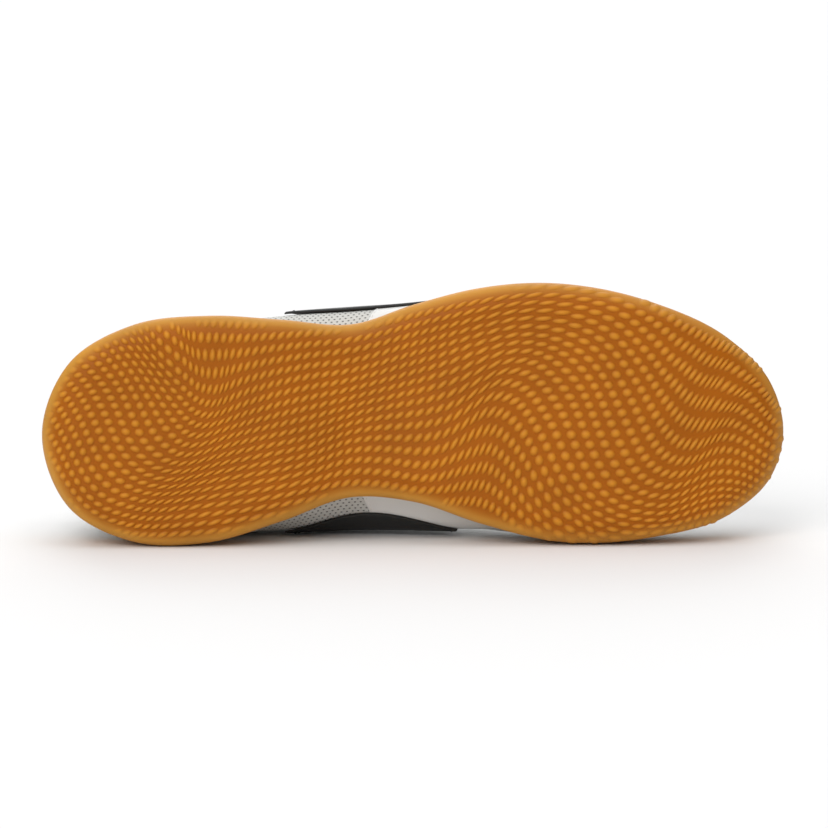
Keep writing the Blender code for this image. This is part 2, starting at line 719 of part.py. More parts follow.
def resting_pose(sole, upper):
    """The pose in which the sole's heel and ball and the upper share one floor."""
    heel, ball = sole[sole[:, 0] < LENGTH / 2], sole[sole[:, 0] >= LENGTH / 2]
    roll = yaw = 0.0
    for _ in range(SETTLING_STEPS):
        turn = pose(roll, yaw)
        rise = lowest(ball, turn) - lowest(heel, turn)
        yaw -= math.atan2(rise[2], rise[0])
        turn = pose(roll, yaw)
        rise = lowest(upper, turn) - lowest(sole, turn)
        roll += math.atan2(rise[2], rise[1])
    return pose(roll, yaw)


def corners(obj):
    return np.array([v.co for v in obj.data.vertices])


def lay_down(parts, outsole, upper):
    """Parents every part to one empty, which turns and lifts the shoe to the floor."""
    turn = resting_pose(corners(outsole), corners(upper))
    points = np.concatenate([corners(part) for part in parts])
    points = points @ np.array(turn)[:3, :3].T
    low, high = points.min(axis=0), points.max(axis=0)
    centre = (low + high) / 2
    rest = bpy.data.objects.new("resting_place", None)
    bpy.context.scene.collection.objects.link(rest)
    rest.matrix_world = Matrix.Translation((-centre[0], -centre[1], -low[2])) @ turn
    for obj in bpy.data.objects:
        if obj is not rest:
            obj.parent = rest


def main():
    clear_scene()
    gum = material("gum_rubber", GUM_COLOUR, 0.45)
    synthetic = material("white_synthetic", UPPER_COLOUR, 0.5)
    dark = material("black_panel", BLACK, 0.45)
    liner = material("liner_foam", KNIT_COLOUR, 0.85)
    padded = material("tongue_mesh", WHITE, 0.8)
    woven = material("lace_weave", WHITE, 0.8)

    at = np.arange(TURNS * COLUMNS_PER_SECTION) / COLUMNS_PER_SECTION
    outsole = build_outsole(at, gum)
    upper = build_upper(at, synthetic)
    eyestay = build_eyestay(synthetic)
    parts = [
        outsole,
        build_insole(at, liner),
        upper,
        build_tongue(padded),
        build_panel("panel_inner", 1, dark),
        build_panel("panel_outer", -1, dark),
        eyestay,
        build_laces(woven),
    ]
    cut_eyelets([upper, eyestay], synthetic)
    lay_down(parts, outsole, upper)


main()
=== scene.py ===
import json
import math

import bmesh
import bpy
import numpy as np
from mathutils import Matrix, Vector


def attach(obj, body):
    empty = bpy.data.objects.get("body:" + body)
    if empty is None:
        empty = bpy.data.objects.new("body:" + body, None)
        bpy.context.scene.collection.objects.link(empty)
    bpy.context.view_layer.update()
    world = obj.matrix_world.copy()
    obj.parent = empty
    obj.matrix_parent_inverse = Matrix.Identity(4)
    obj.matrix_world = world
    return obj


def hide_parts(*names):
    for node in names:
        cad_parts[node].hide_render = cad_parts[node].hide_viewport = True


# Looks of an indoor soccer shoe for a right foot, lying on its inner side.  The shoe is
# worked out upright first: x from heel to toe, y to the inner side and z up from the
# ground, in metres.  The mounts under its sole say how it lies in the frame.
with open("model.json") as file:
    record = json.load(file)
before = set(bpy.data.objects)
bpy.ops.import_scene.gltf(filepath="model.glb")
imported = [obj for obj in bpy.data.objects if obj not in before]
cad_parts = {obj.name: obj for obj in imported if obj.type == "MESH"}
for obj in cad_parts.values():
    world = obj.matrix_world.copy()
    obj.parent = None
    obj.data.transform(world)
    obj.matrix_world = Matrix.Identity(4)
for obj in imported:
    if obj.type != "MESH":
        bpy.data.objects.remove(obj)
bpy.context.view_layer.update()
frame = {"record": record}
scene = bpy.context.scene

# How the photo shows the shoe: straight onto the sole, heel left.  Places in the photo
# are in its own pixels, across and down.
photo = {
    "side": 828,
    "scale": 2545.0,        # pixels to the metre at the sole's widest line
    "heel": 42.0,           # the heel's back, across
    "middle": 434.0,        # the sole's middle line, down
    "distance": 2.2,        # from the camera to the widest line
    "widest": 0.0115,       # height of that line above the ground
}


def soleAt(across, down):
    # Where on the tread the camera sees a place of the photo
    half = photo["side"] / 2
    near = photo["scale"] * photo["distance"] / (photo["distance"] - photo["widest"])
    x = (half - photo["heel"]) / photo["scale"] + (np.asarray(across, float) - half) / near
    y = (half - photo["middle"]) / photo["scale"] + (np.asarray(down, float) - half) / near
    return x, y


shoe = {
    "length": 0.292,
    "ballWidth": 0.1016,
    "instepHeight": 0.077,
    "heelHeight": 0.071,
    "clearance": 0.0003,
    "heelMount": (0.055, 0.0),        # where the two mounts are on the upright sole
    "forefootMount": (0.195, -0.008),
}

# One row for each section, from the heel's middle to the toe's tip.  "along" is a share
# of the length, "inner" and "outer" are shares of the ball's width.
soleColumns = ("along", "inner", "outer", "rim")  # rim is a share of the heel's rim
soleTable = {
    "heel back": (0.000, -0.005, 0.005, 1.00),
    "heel corner": (0.038, 0.288, 0.277, 0.95),
    "heel side": (0.124, 0.416, 0.422, 0.81),
    "ankle": (0.226, 0.418, 0.457, 0.72),
    "quarter": (0.322, 0.338, 0.442, 0.65),
    "waist": (0.418, 0.244, 0.425, 0.61),
    "instep": (0.500, 0.262, 0.500, 0.61),
    "forepart": (0.589, 0.345, 0.564, 0.63),
    "ball": (0.702, 0.420, 0.583, 0.67),
    "toe side": (0.822, 0.402, 0.512, 0.76),
    "toe corner": (0.925, 0.316, 0.372, 0.91),
    "toe turn": (0.981, 0.176, 0.208, 1.06),
    "toe tip": (1.000, -0.010, 0.010, 1.11),
}
# Heights are shares of the heel's height up to the quarter, of the instep's from there.
# The belly's are shares of the way from the rim up to the wall line.
lineColumns = ("along", "inner", "outer", "inner height", "outer height")
bellyTable = {
    "heel back": (0.005, -0.005, 0.005, 0.44, 0.44),
    "heel corner": (0.042, 0.246, 0.256, 0.45, 0.45),
    "heel side": (0.127, 0.369, 0.379, 0.49, 0.49),
    "ankle": (0.229, 0.390, 0.428, 0.48, 0.48),
    "quarter": (0.325, 0.372, 0.460, 0.52, 0.475),
    "waist": (0.418, 0.352, 0.478, 0.48, 0.46),
    "instep": (0.500, 0.356, 0.497, 0.44, 0.39),
    "forepart": (0.589, 0.368, 0.530, 0.43, 0.36),
    "ball": (0.699, 0.388, 0.546, 0.43, 0.365),
    "toe side": (0.815, 0.367, 0.478, 0.44, 0.375),
    "toe corner": (0.914, 0.285, 0.335, 0.435, 0.385),
    "toe turn": (0.966, 0.162, 0.182, 0.42, 0.37),
    "toe tip": (0.985, -0.010, 0.010, 0.42, 0.42),
}
wallTable = {
    "heel back": (0.010, -0.005, 0.005, 0.70, 0.70),
    "heel corner": (0.044, 0.227, 0.236, 0.69, 0.69),
    "heel side": (0.127, 0.344, 0.354, 0.62, 0.62),
    "ankle": (0.229, 0.377, 0.399, 0.58, 0.58),
    "quarter": (0.322, 0.350, 0.428, 0.60, 0.59),
    "waist": (0.411, 0.335, 0.443, 0.60, 0.53),
    "instep": (0.490, 0.325, 0.453, 0.57, 0.51),
    "forepart": (0.575, 0.335, 0.473, 0.52, 0.47),
    "ball": (0.682, 0.335, 0.483, 0.48, 0.44),
    "toe side": (0.795, 0.310, 0.424, 0.48, 0.45),
    "toe corner": (0.890, 0.236, 0.286, 0.505, 0.49),
    "toe turn": (0.942, 0.133, 0.153, 0.535, 0.53),
    "toe tip": (0.962, -0.010, 0.010, 0.545, 0.545),
}
shoulderTable = {
    "heel back": (0.019, -0.005, 0.005, 0.87, 0.87),
    "heel corner": (0.050, 0.202, 0.212, 0.85, 0.85),
    "heel side": (0.127, 0.315, 0.325, 0.76, 0.76),
    "ankle": (0.229, 0.366, 0.364, 0.72, 0.72),
    "quarter": (0.318, 0.335, 0.369, 0.76, 0.75),
    "waist": (0.397, 0.276, 0.359, 0.805, 0.73),
    "instep": (0.476, 0.246, 0.350, 0.765, 0.71),
    "forepart": (0.555, 0.241, 0.354, 0.69, 0.65),
    "ball": (0.644, 0.217, 0.345, 0.635, 0.60),
    "toe side": (0.726, 0.167, 0.276, 0.61, 0.59),
    "toe corner": (0.784, 0.103, 0.177, 0.605, 0.59),
    "toe turn": (0.822, 0.039, 0.084, 0.61, 0.607),
    "toe tip": (0.839, -0.025, 0.025, 0.617, 0.617),
}
edgeTable = {
    "heel back": (0.031, -0.005, 0.005, 1.00, 1.00),
    "heel corner": (0.060, 0.167, 0.177, 0.97, 0.97),
    "heel side": (0.127, 0.276, 0.286, 0.88, 0.88),
    "ankle": (0.226, 0.325, 0.320, 0.82, 0.81),
    "quarter": (0.312, 0.276, 0.295, 0.88, 0.87),
    "waist": (0.377, 0.187, 0.246, 1.00, 0.98),
    "instep": (0.455, 0.133, 0.221, 0.935, 0.915),
    "forepart": (0.524, 0.103, 0.202, 0.857, 0.838),
    "ball": (0.586, 0.074, 0.182, 0.786, 0.773),
    "toe side": (0.627, 0.039, 0.148, 0.747, 0.740),
    "toe corner": (0.644, 0.000, 0.108, 0.734, 0.731),
    "toe turn": (0.652, -0.030, 0.081, 0.729, 0.727),
    "toe tip": (0.654, -0.054, 0.054, 0.727, 0.727),
}
sections = tuple(soleTable)
heelSections = sections.index("waist")
turns = 2 * (len(sections) - 1)      # section numbers run once round the shoe
edgeLevel = 5                        # levels up the upper: 0 seat, 1 rim, ... 5 edge


def rowPlacement():
    mounts = {m["name"]: m for m in frame["record"]["mounts"]}
    heel = Vector(mounts["heel_tread"]["pos_m"])
    forefoot = Vector(mounts["forefoot_tread"]["pos_m"])
    up = -Vector(mounts["heel_tread"]["axis"]).normalized()
    (hx, hy), (fx, fy) = shoe["heelMount"], shoe["forefootMount"]
    bearing = math.atan2(fy - hy, fx - hx)
    along = (forefoot - heel).normalized()
    ahead = Matrix.Rotation(-bearing, 3, up) @ along
    inward = up.cross(ahead)
    turn = Matrix((ahead, inward, up)).transposed()
    return turn, heel - turn @ Vector((hx, hy, 0.0))


rowTurn, rowOrigin = rowPlacement()
rowTurnArray, rowOriginArray = np.array(rowTurn), np.array(rowOrigin)


def toRow(points):
    return np.asarray(points) @ rowTurnArray.T + rowOriginArray


def unit(vectors):
    return vectors / np.linalg.norm(vectors, axis=-1, keepdims=True)


def runAlong(points):
    # Metres from the first of a row of points to each of them
    return np.concatenate([[0.0], np.cumsum(np.linalg.norm(np.diff(points, axis=0), axis=1))])


# Curves and surfaces of the shoe

def allRound(table, column, outerColumn=None):
    names = soleColumns if table is soleTable else lineColumns
    inner = [table[s][names.index(column)] for s in sections]
    outer = [table[s][names.index(outerColumn or column)] for s in sections]
    return np.array(inner + outer[-2:0:-1])


def loopPoints(table):
    along = allRound(table, "along") * shoe["length"]
    across = allRound(table, "inner", "outer") * shoe["ballWidth"]
    across[len(sections):] *= -1
    return np.stack([along, across], axis=1)


soleLoop = loopPoints(soleTable)
knotGaps = np.linalg.norm(np.roll(soleLoop, -1, axis=0) - soleLoop, axis=1)


def bridge(start, end, leaving, arriving, t):
    # A cubic from start to end, with its slope at both of them
    return (start * (2 * t**3 - 3 * t**2 + 1) + end * (3 * t**2 - 2 * t**3)
            + leaving * (t**3 - 2 * t**2 + t) + arriving * (t**3 - t**2))


def roundCurve(values, at):
    at = np.asarray(at, float) % turns
    values = np.asarray(values, float).reshape(turns, -1)
    before = np.roll(knotGaps, 1)
    rise = (np.roll(values, -1, axis=0) - values) / knotGaps[:, None]
    slope = np.roll(rise, 1, axis=0) * knotGaps[:, None] + rise * before[:, None]
    slope /= (knotGaps + before)[:, None]
    first = np.minimum(at.astype(int), turns - 1)
    second = (first + 1) % turns
    t = (at - first)[:, None]
    gap = knotGaps[first][:, None]
    return bridge(values[first], values[second], gap * slope[first], gap * slope[second], t)


def risingCurve(stack, level):
    slope = np.gradient(stack, axis=0)
    slope[0] = stack[1] - stack[0]
    first = np.clip(level.astype(int), 0, len(stack) - 2)
    t = (level - first)[:, None]
    pick = np.arange(stack.shape[1])
    second = first + 1
    return bridge(stack[first, pick], stack[second, pick], slope[first, pick], slope[second, pick], t)


def smoothStep(value):
    t = np.clip(value, 0.0, 1.0)
    return t * t * (3 - 2 * t)


cup = {
    "edgeReach": 0.010,       # the tread's rounded edge, in plan and in height
    "edgeRise": 0.0075,
    "heelFloor": 0.009,
    "forefootFloor": 0.0065,
    "wall": 0.0042,
    "lean": 0.0020,
    "heelRim": 0.027,
    "rimRound": 0.0008,
    "grooveDepth": 0.0007,
    "groove": (0.50, 0.76),   # from and to these shares of the wall's height
    "grooveEdge": 0.06,
    "drawOut": 0.45,          # where the wall is back on its line above the drawn-in tread
    "roundRings": 13,
    "wallRings": 28,
    "toeSpring": 0.0085,
    "archRise": 0.0028,
    "heelBevel": 0.0035,
    "columns": 384,           # round the shoe
    "rungPoints": 40,         # across the tread
}
treadShares = {
    "bevel": 0.075,
    "archStart": 0.30,
    "archRun": 0.27,
    "springStart": 0.76,
    "springPower": 1.8,
    "floorStart": 0.30,       # where the floor inside thins towards the forefoot
    "floorRun": 0.35,
}


def treadHeight(x):
    share = np.asarray(x, float) / shoe["length"]
    bevel = np.clip(1 - share / treadShares["bevel"], 0, 1) ** 2 * cup["heelBevel"]
    archShare = np.clip((share - treadShares["archStart"]) / treadShares["archRun"], 0, 1)
    arch = np.sin(np.pi * archShare) ** 2 * cup["archRise"]
    start = treadShares["springStart"]
    spring = np.clip((share - start) / (1 - start), 0, 1) ** treadShares["springPower"]
    return bevel + arch + spring * cup["toeSpring"]


def floorHeight(x):
    share = np.asarray(x, float) / shoe["length"]
    fall = smoothStep((share - treadShares["floorStart"]) / treadShares["floorRun"])
    return treadHeight(x) + cup["heelFloor"] + (cup["forefootFloor"] - cup["heelFloor"]) * fall


def outline(at, inset):
    at = np.asarray(at, float)
    run = unit(roundCurve(soleLoop, at + 0.01) - roundCurve(soleLoop, at - 0.01))
    inward = np.stack([run[:, 1], -run[:, 0]], axis=1)
    return roundCurve(soleLoop, at) + np.reshape(inset, (-1, 1)) * inward


def rimHeight(at):
    return roundCurve(allRound(soleTable, "rim"), at)[:, 0] * cup["heelRim"]


def ring(at, inset, height):
    plan = outline(at, inset)
    level = height(plan[:, 0]) if callable(height) else height
    return np.column_stack([plan, np.broadcast_to(level, len(plan))])


def lineAt(table, at):
    heights = allRound(table, "inner height", "outer height")
    reference = np.full(turns, shoe["instepHeight"])
    reference[:heelSections] = shoe["heelHeight"]
    reference[turns - heelSections + 1:] = shoe["heelHeight"]
    return np.column_stack([roundCurve(loopPoints(table), at),
                            roundCurve(heights * reference, at)[:, 0]])


def upperSurface(at, level):
    shape = np.shape(at)
    at, level = np.ravel(at).astype(float), np.ravel(level).astype(float)
    inset = cup["wall"] + shoe["clearance"]
    seat = ring(at, inset, lambda x: floorHeight(x) + shoe["clearance"])
    rim = ring(at, inset, rimHeight(at) + shoe["clearance"])
    lines = [lineAt(t, at) for t in (wallTable, shoulderTable, edgeTable)]
    share = roundCurve(allRound(bellyTable, "inner height", "outer height"), at)[:, 0]
    height = rimHeight(at) + (lines[0][:, 2] - rimHeight(at)) * share
    belly = np.column_stack([roundCurve(loopPoints(bellyTable), at), height])
    return risingCurve(np.array([seat, rim, belly, *lines]), level).reshape(*shape, 3)


# Creases where the shoe bends, each from the sides up to the throat: its section at the
# third level, how far it leans for each level, half its width in sections, its depth
creases = {
    "inner ball": (8.15, -0.22, 0.20, 0.0011),
    "inner toes": (8.95, -0.30, 0.16, 0.0008),
    "inner waist": (6.95, -0.12, 0.14, 0.0006),
    "outer ball": (15.75, 0.24, 0.22, 0.0012),
    "outer toes": (15.00, 0.30, 0.17, 0.0008),
    "outer waist": (17.00, 0.12, 0.15, 0.0006),
    "inner ankle": (2.75, 0.25, 0.16, 0.0008),
    "outer ankle": (21.20, -0.25, 0.16, 0.0008),
}


creaseShape = {
    "start": 1.6,             # level where they begin, one below the level where they are full
    "fade": (3.9, 0.8, 0.8),  # level where they begin to fade, over how much, by what share
    "ridge": (0.35, 1.8),     # height of the ridge beside each, and its place in half widths
}


def creaseDepth(at, level):
    # They start just below the belly's line and fade to a fifth towards the throat
    (fade, run, share), (high, aside) = creaseShape["fade"], creaseShape["ridge"]
    window = smoothStep(level - creaseShape["start"]) * (1 - share * smoothStep((level - fade) / run))
    depth = np.zeros(np.shape(at))
    for section, lean, width, deepest in creases.values():
        away = (at % turns - section - lean * (level - 3)) / width
        trough, ridge = np.exp(-away**2), np.exp(-(away - aside) ** 2)
        depth += deepest * (trough - high * ridge)
    return depth * window


def upperFrame(at, level):
    step = 0.02
    at, level = np.broadcast_arrays(np.asarray(at, float), np.asarray(level, float))
    across = upperSurface(at + step, level) - upperSurface(at - step, level)
    low, high = np.maximum(level - step, 0.0), np.minimum(level + step, edgeLevel)
    up = upperSurface(at, high) - upperSurface(at, low)
    normal = unit(np.cross(up, across))
    return upperSurface(at, level) - normal * creaseDepth(at, level)[..., None], normal


def upperPoint(at, level, offset=0.0):
    points, normals = upperFrame(np.atleast_1d(at), np.atleast_1d(level))
    return points + normals * offset


def levelBelowEdge(at, width):
    at = np.asarray(at, float)
    flat = at.ravel()
    length = np.linalg.norm(lineAt(edgeTable, flat) - lineAt(shoulderTable, flat), axis=1)
    return edgeLevel - width / length.reshape(at.shape)


# Meshes

sharpAngle = 50      # degrees between faces that show as an edge


def addObject(name, data):
    obj = bpy.data.objects.new(name, data)
    scene.collection.objects.link(obj)
    return obj


def addMesh(name, points, faces, finishes, sharp=sharpAngle):
    mesh = bpy.data.meshes.new(name)
    mesh.from_pydata(toRow(points).tolist(), [], [tuple(int(i) for i in f) for f in faces])
    work = bmesh.new()
    work.from_mesh(mesh)
    bmesh.ops.recalc_face_normals(work, faces=work.faces)
    work.to_mesh(mesh)
    work.free()
    mesh.shade_smooth()
    if sharp:
        mesh.set_sharp_from_angle(angle=math.radians(sharp))
    for finish in np.atleast_1d(finishes):
        mesh.materials.append(finish)
    return addObject(name, mesh)


def setAttribute(obj, name, values):
    made = obj.data.attributes.new(name, "FLOAT", "POINT")
    made.data.foreach_set("value", np.asarray(values, np.float32).ravel())


def strips(rows, count, closed=True, start=0):
    ends = np.arange(count if closed else count - 1)
    nextEnds = (ends + 1) % count
    base = start + np.arange(rows - 1)[:, None] * count
    return np.stack([base + ends, base + nextEnds, base + count + nextEnds, base + count + ends],
                    axis=2).reshape(-1, 4)


def ladder(first, count):
    half = count // 2
    faces = [(first, first + 1, first + count - 1)]
    faces += [(first + k, first + k + 1, first + count - k - 1, first + count - k)
              for k in range(1, half - 1)]
    faces.append((first + half - 1, first + half, first + half + 1))
    return faces


def rungs(ringPoints, across, first, start):
    # Fills a ring with rows of points from its inner side to its outer side
    count = len(ringPoints)
    half = count // 2
    shares = np.arange(1, across) / across
    left, right = ringPoints[1:half], ringPoints[:half:-1]
    inside = left[:, None] + (right - left)[:, None] * shares[None, :, None]
    table = np.zeros((half - 1, across + 1), int)
    table[:, 0] = first + np.arange(1, half)
    table[:, -1] = first + count - np.arange(1, half)
    table[:, 1:-1] = start + np.arange((half - 1) * (across - 1)).reshape(half - 1, -1)
    faces = np.stack([table[:-1, :-1], table[:-1, 1:], table[1:, 1:], table[1:, :-1]],
                     axis=2).reshape(-1, 4).tolist()
    faces += [(first, table[0, c + 1], table[0, c]) for c in range(across)]
    faces += [(first + half, table[-1, c], table[-1, c + 1]) for c in range(across)]
    return inside.reshape(-1, 3), faces


def distancesAlong(grid, axis):
    steps = np.linalg.norm(np.diff(grid, axis=axis), axis=2)
    pad = [(0, 0), (0, 0)]
    pad[axis] = (1, 0)
    return np.pad(np.cumsum(steps, axis=axis), pad)


def edgedShares(count, edge):
    # Even shares from 0 to 1, with extra ones close to both ends for a rounded edge
    ends = np.array([0.0, 0.12, 0.35, 0.65, 1.0]) * edge
    return np.concatenate([ends, np.linspace(edge, 1 - edge, count)[1:-1], 1 - ends[::-1]])


def gridDistances(grid):
    # Metres along and up a grid of points, and from its nearest border
    fromStart, fromBottom = distancesAlong(grid, 1), distancesAlong(grid, 0)
    borders = (fromStart, fromStart[:, -1:] - fromStart, fromBottom, fromBottom[-1:] - fromBottom)
    return fromStart, fromBottom, np.minimum.reduce(borders)


def twoSided(name, top, under, distances, finish, sharp):
    # Two grids of points, joined round their border
    rows, count = top.shape[:2]
    size = rows * count
    faces = strips(rows, count, closed=False).tolist()
    faces += [tuple(i + size for i in reversed(f)) for f in faces]
    numbers = np.arange(size).reshape(rows, count)
    border = [*numbers[0], *numbers[1:, -1], *numbers[-1, -2::-1], *numbers[-2:0:-1, 0]]
    faces += [(a, b, b + size, a + size) for a, b in zip(border, border[1:] + border[:1])]
    obj = addMesh(name, np.concatenate([top.reshape(-1, 3), under.reshape(-1, 3)]), faces, finish, sharp)
    for attribute, metres in zip(("alongMm", "upMm"), distances):
        setAttribute(obj, attribute, np.tile(metres.ravel() * 1000, 2))
    return obj


sheetEdge = 0.25     # share of a sheet's thickness, and of a pad's, left at its very edge
padEdge = 0.18
padRun = 1.6         # half thicknesses from a pad's edge to where it is full


def sheetOnUpper(name, place, across, up, thickness, gap, rounding, finish, edges=(0.01, 0.03)):
    # A sheet that lies on the upper, with its four edges rounded
    u, v = np.meshgrid(edgedShares(across, edges[0]), edgedShares(up, edges[1]))
    points, normals = upperFrame(*place(u, v))
    *distances, depth = gridDistances(points)
    share = 1 - np.clip(depth / rounding, 0, 1)
    lift = gap + thickness * (sheetEdge + (1 - sheetEdge) * np.sqrt(1 - share**2))
    return twoSided(name, points + normals * lift[..., None], points + normals * gap, distances,
                    finish, sharpAngle)


def closedPad(name, top, under, finish):
    # A padded sheet between two grids, with rounded borders
    middle, half = (top + under) / 2, (top - under) / 2
    *distances, depth = gridDistances(middle)
    share = 1 - np.clip(depth / (np.linalg.norm(half, axis=2) * padRun), 0, 1)
    fat = (padEdge + (1 - padEdge) * np.sqrt(1 - share**2))[..., None]
    return twoSided(name, middle + half * fat, middle - half * fat, distances, finish, None)


def circle(sides):
    turn = np.arange(sides) * 2 * math.pi / sides
    return np.cos(turn), np.sin(turn)


def ovals(longAxes, sideAxes, sides):
    cosine, sine = circle(sides)
    return cosine[:, None] * longAxes[:, None] + sine[:, None] * sideAxes[:, None]


def diskFaces(count, rings, sides):
    # Faces of separate disks, each numbered as its middle and then ring by ring
    k = np.arange(sides)
    nextK = (k + 1) % sides
    fan = np.stack([np.zeros(sides, int), 1 + k, 1 + nextK], axis=1)
    low = 1 + np.arange(rings - 1)[:, None] * sides
    high = low + sides
    quads = np.stack([low + k, high + k, high + nextK, low + nextK], axis=2).reshape(-1, 4)
    starts = np.arange(count)[:, None, None] * (1 + rings * sides)
    return (starts + fan).reshape(-1, 3).tolist() + (starts + quads).reshape(-1, 4).tolist()


dome = {"rings": (0.45, 0.8, 1.0), "sides": 10, "sink": 0.00004}


def domes(name, centres, longAxes, sideAxes, normals, height, finish):
    # Small rounded lumps on a surface, such as stitches
    circles = ovals(longAxes, sideAxes, dome["sides"])
    layers = [(centres + normals * height)[:, None]]
    for r in dome["rings"]:
        lift = height * (1 - r * r) - dome["sink"] * (r == 1.0)
        layers.append(centres[:, None] + circles * r + (normals * lift)[:, None])
    faces = diskFaces(len(centres), len(dome["rings"]), dome["sides"])
    return addMesh(name, np.concatenate(layers, axis=1).reshape(-1, 3), faces, finish, sharp=None)


def stitchLine(name, points, normals, pitch, length, width, height, finish):
    # Even stitches along a path, which is a row of points with their normals
    run = runAlong(points)
    stops = np.arange(pitch / 2, run[-1], pitch)

    def onPath(values, at):
        return np.column_stack([np.interp(at, run, values[:, i]) for i in range(3)])

    up = unit(onPath(normals, stops))
    ahead = unit(onPath(points, stops + pitch / 4) - onPath(points, stops - pitch / 4))
    side = np.cross(up, ahead)
    return domes(name, onPath(points, stops), ahead * length / 2, side * width / 2, up, height, finish)


# Finishes

def startFinish(name, colour, roughness, **sockets):
    made = bpy.data.materials.new(name)
    made.use_nodes = True
    tree = made.node_tree
    shader = tree.nodes["Principled BSDF"]
    shader.inputs["Base Color"].default_value = (*colour, 1.0)
    shader.inputs["Roughness"].default_value = roughness
    for socket, value in sockets.items():
        shader.inputs[socket].default_value = value
    made.diffuse_color = (*colour, 1.0)
    return made, tree, shader


def addNode(tree, kind, inputs=(), **settings):
    node = tree.nodes.new(kind)
    for name, value in settings.items():
        setattr(node, name, value)
    for key, value in dict(inputs).items():
        socket = node.inputs[key]
        if isinstance(value, bpy.types.NodeSocket):
            tree.links.new(value, socket)
        else:
            socket.default_value = value
    return node


def readAttribute(tree, name):
    return addNode(tree, "ShaderNodeAttribute", attribute_name=name).outputs["Fac"]


def objectPlace(tree):
    return addNode(tree, "ShaderNodeTexCoord").outputs["Object"]


def noise(tree, place, scale, detail=3.0, roughness=0.5):
    return addNode(tree, "ShaderNodeTexNoise",
                   {"Vector": place, "Scale": scale, "Detail": detail, "Roughness": roughness}).outputs["Fac"]


def sums(tree, operation, first, second=0.0):
    return addNode(tree, "ShaderNodeMath", {0: first, 1: second}, operation=operation).outputs[0]


def blendColours(tree, share, first, second):
    # 6, 7 and 2 are a mix node's sockets for colours
    first, second = ((*c, 1.0) if isinstance(c, tuple) else c for c in (first, second))
    return addNode(tree, "ShaderNodeMix", {0: share, 6: first, 7: second}, data_type="RGBA").outputs[2]


def remap(tree, value, low, high, outLow=0.0, outHigh=1.0, kind="LINEAR"):
    return addNode(tree, "ShaderNodeMapRange",
                   {"Value": value, "From Min": low, "From Max": high, "To Min": outLow, "To Max": outHigh},
                   interpolation_type=kind).outputs["Result"]


def bump(tree, shader, height, strength, distance):
    node = addNode(tree, "ShaderNodeBump", {"Height": height, "Strength": strength, "Distance": distance})
    tree.links.new(node.outputs["Normal"], shader.inputs["Normal"])
    return node


# Gum: the tread between the nubs is painted darker as shade, and the nubs' tops are painted lighter as a
# highlight; "plain" is the colour of the smooth rubber
gum = {
    "valleyShade": (0.365, 0.098, 0.0015),
    "crestHighlight": (0.590, 0.232, 0.018),
    "plain": (0.545, 0.250, 0.036),
    "roughness": 0.50,
    "gloss": 0.14,
    "glow": 0.08,              # share of light that passes under the surface
    "glowDepth": 0.004,
    "glowColours": (1.0, 0.45, 0.12),
    "cloud": (55.0, 4.0),      # scale and detail of its cloudy shade
    "cloudShade": (0.3, 0.7, 0.93, 1.07),
    "grain": (1400.0, 3.0),
    "grainBump": (0.25, 0.00006),
}


def gumFinish():
    made, tree, shader = startFinish("gum_rubber_moulded", gum["plain"], gum["roughness"],
                                     **{"Subsurface Weight": gum["glow"],
                                        "Subsurface Scale": gum["glowDepth"],
                                        "Subsurface Radius": gum["glowColours"],
                                        "Specular IOR Level": gum["gloss"]})
    place = objectPlace(tree)
    # Painted light on the tread: shade in the valleys and a highlight on the nub tops, set by each nub's
    # height
    lattice = blendColours(tree, readAttribute(tree, "crestLight"), gum["valleyShade"], gum["crestHighlight"])
    colour = blendColours(tree, readAttribute(tree, "plainShare"), lattice, gum["plain"])
    shade = remap(tree, noise(tree, place, *gum["cloud"]), *gum["cloudShade"])
    tinted = addNode(tree, "ShaderNodeVectorMath", operation="SCALE")
    tree.links.new(colour, tinted.inputs[0])
    tree.links.new(shade, tinted.inputs["Scale"])
    tree.links.new(tinted.outputs[0], shader.inputs["Base Color"])
    bump(tree, shader, noise(tree, place, *gum["grain"]), *gum["grainBump"])
    return made


smooth = {"cloud": (60.0, 4.0), "bump": 0.5}


def plainFinish(name, colour, roughness, grainScale, grainDepth, mottle, gloss):
    # A smooth synthetic with a fine grain
    made, tree, shader = startFinish(name, colour, roughness, **{"Specular IOR Level": gloss})
    place = objectPlace(tree)
    cloud = noise(tree, place, *smooth["cloud"])
    lighter = tuple(min(1.0, c * (1 + mottle)) for c in colour)
    darker = tuple(c * (1 - mottle) for c in colour)
    tree.links.new(blendColours(tree, cloud, darker, lighter), shader.inputs["Base Color"])
    grain = addNode(tree, "ShaderNodeTexVoronoi", {"Vector": place, "Scale": grainScale},
                    feature="DISTANCE_TO_EDGE").outputs["Distance"]
    bump(tree, shader, grain, smooth["bump"], grainDepth)
    return made


dots = {
    "stagger": 0.5,           # how far every other row is moved, in openings
    "edge": (0.35, 0.6),      # from an opening's middle to its edge and to full cloth
    "yarn": (900.0, 2.0),     # scale and detail of the yarn's noise
    "yarnShades": (0.9, 1.08),
    "yarnDepth": 0.35,
    "bump": 0.8,
}


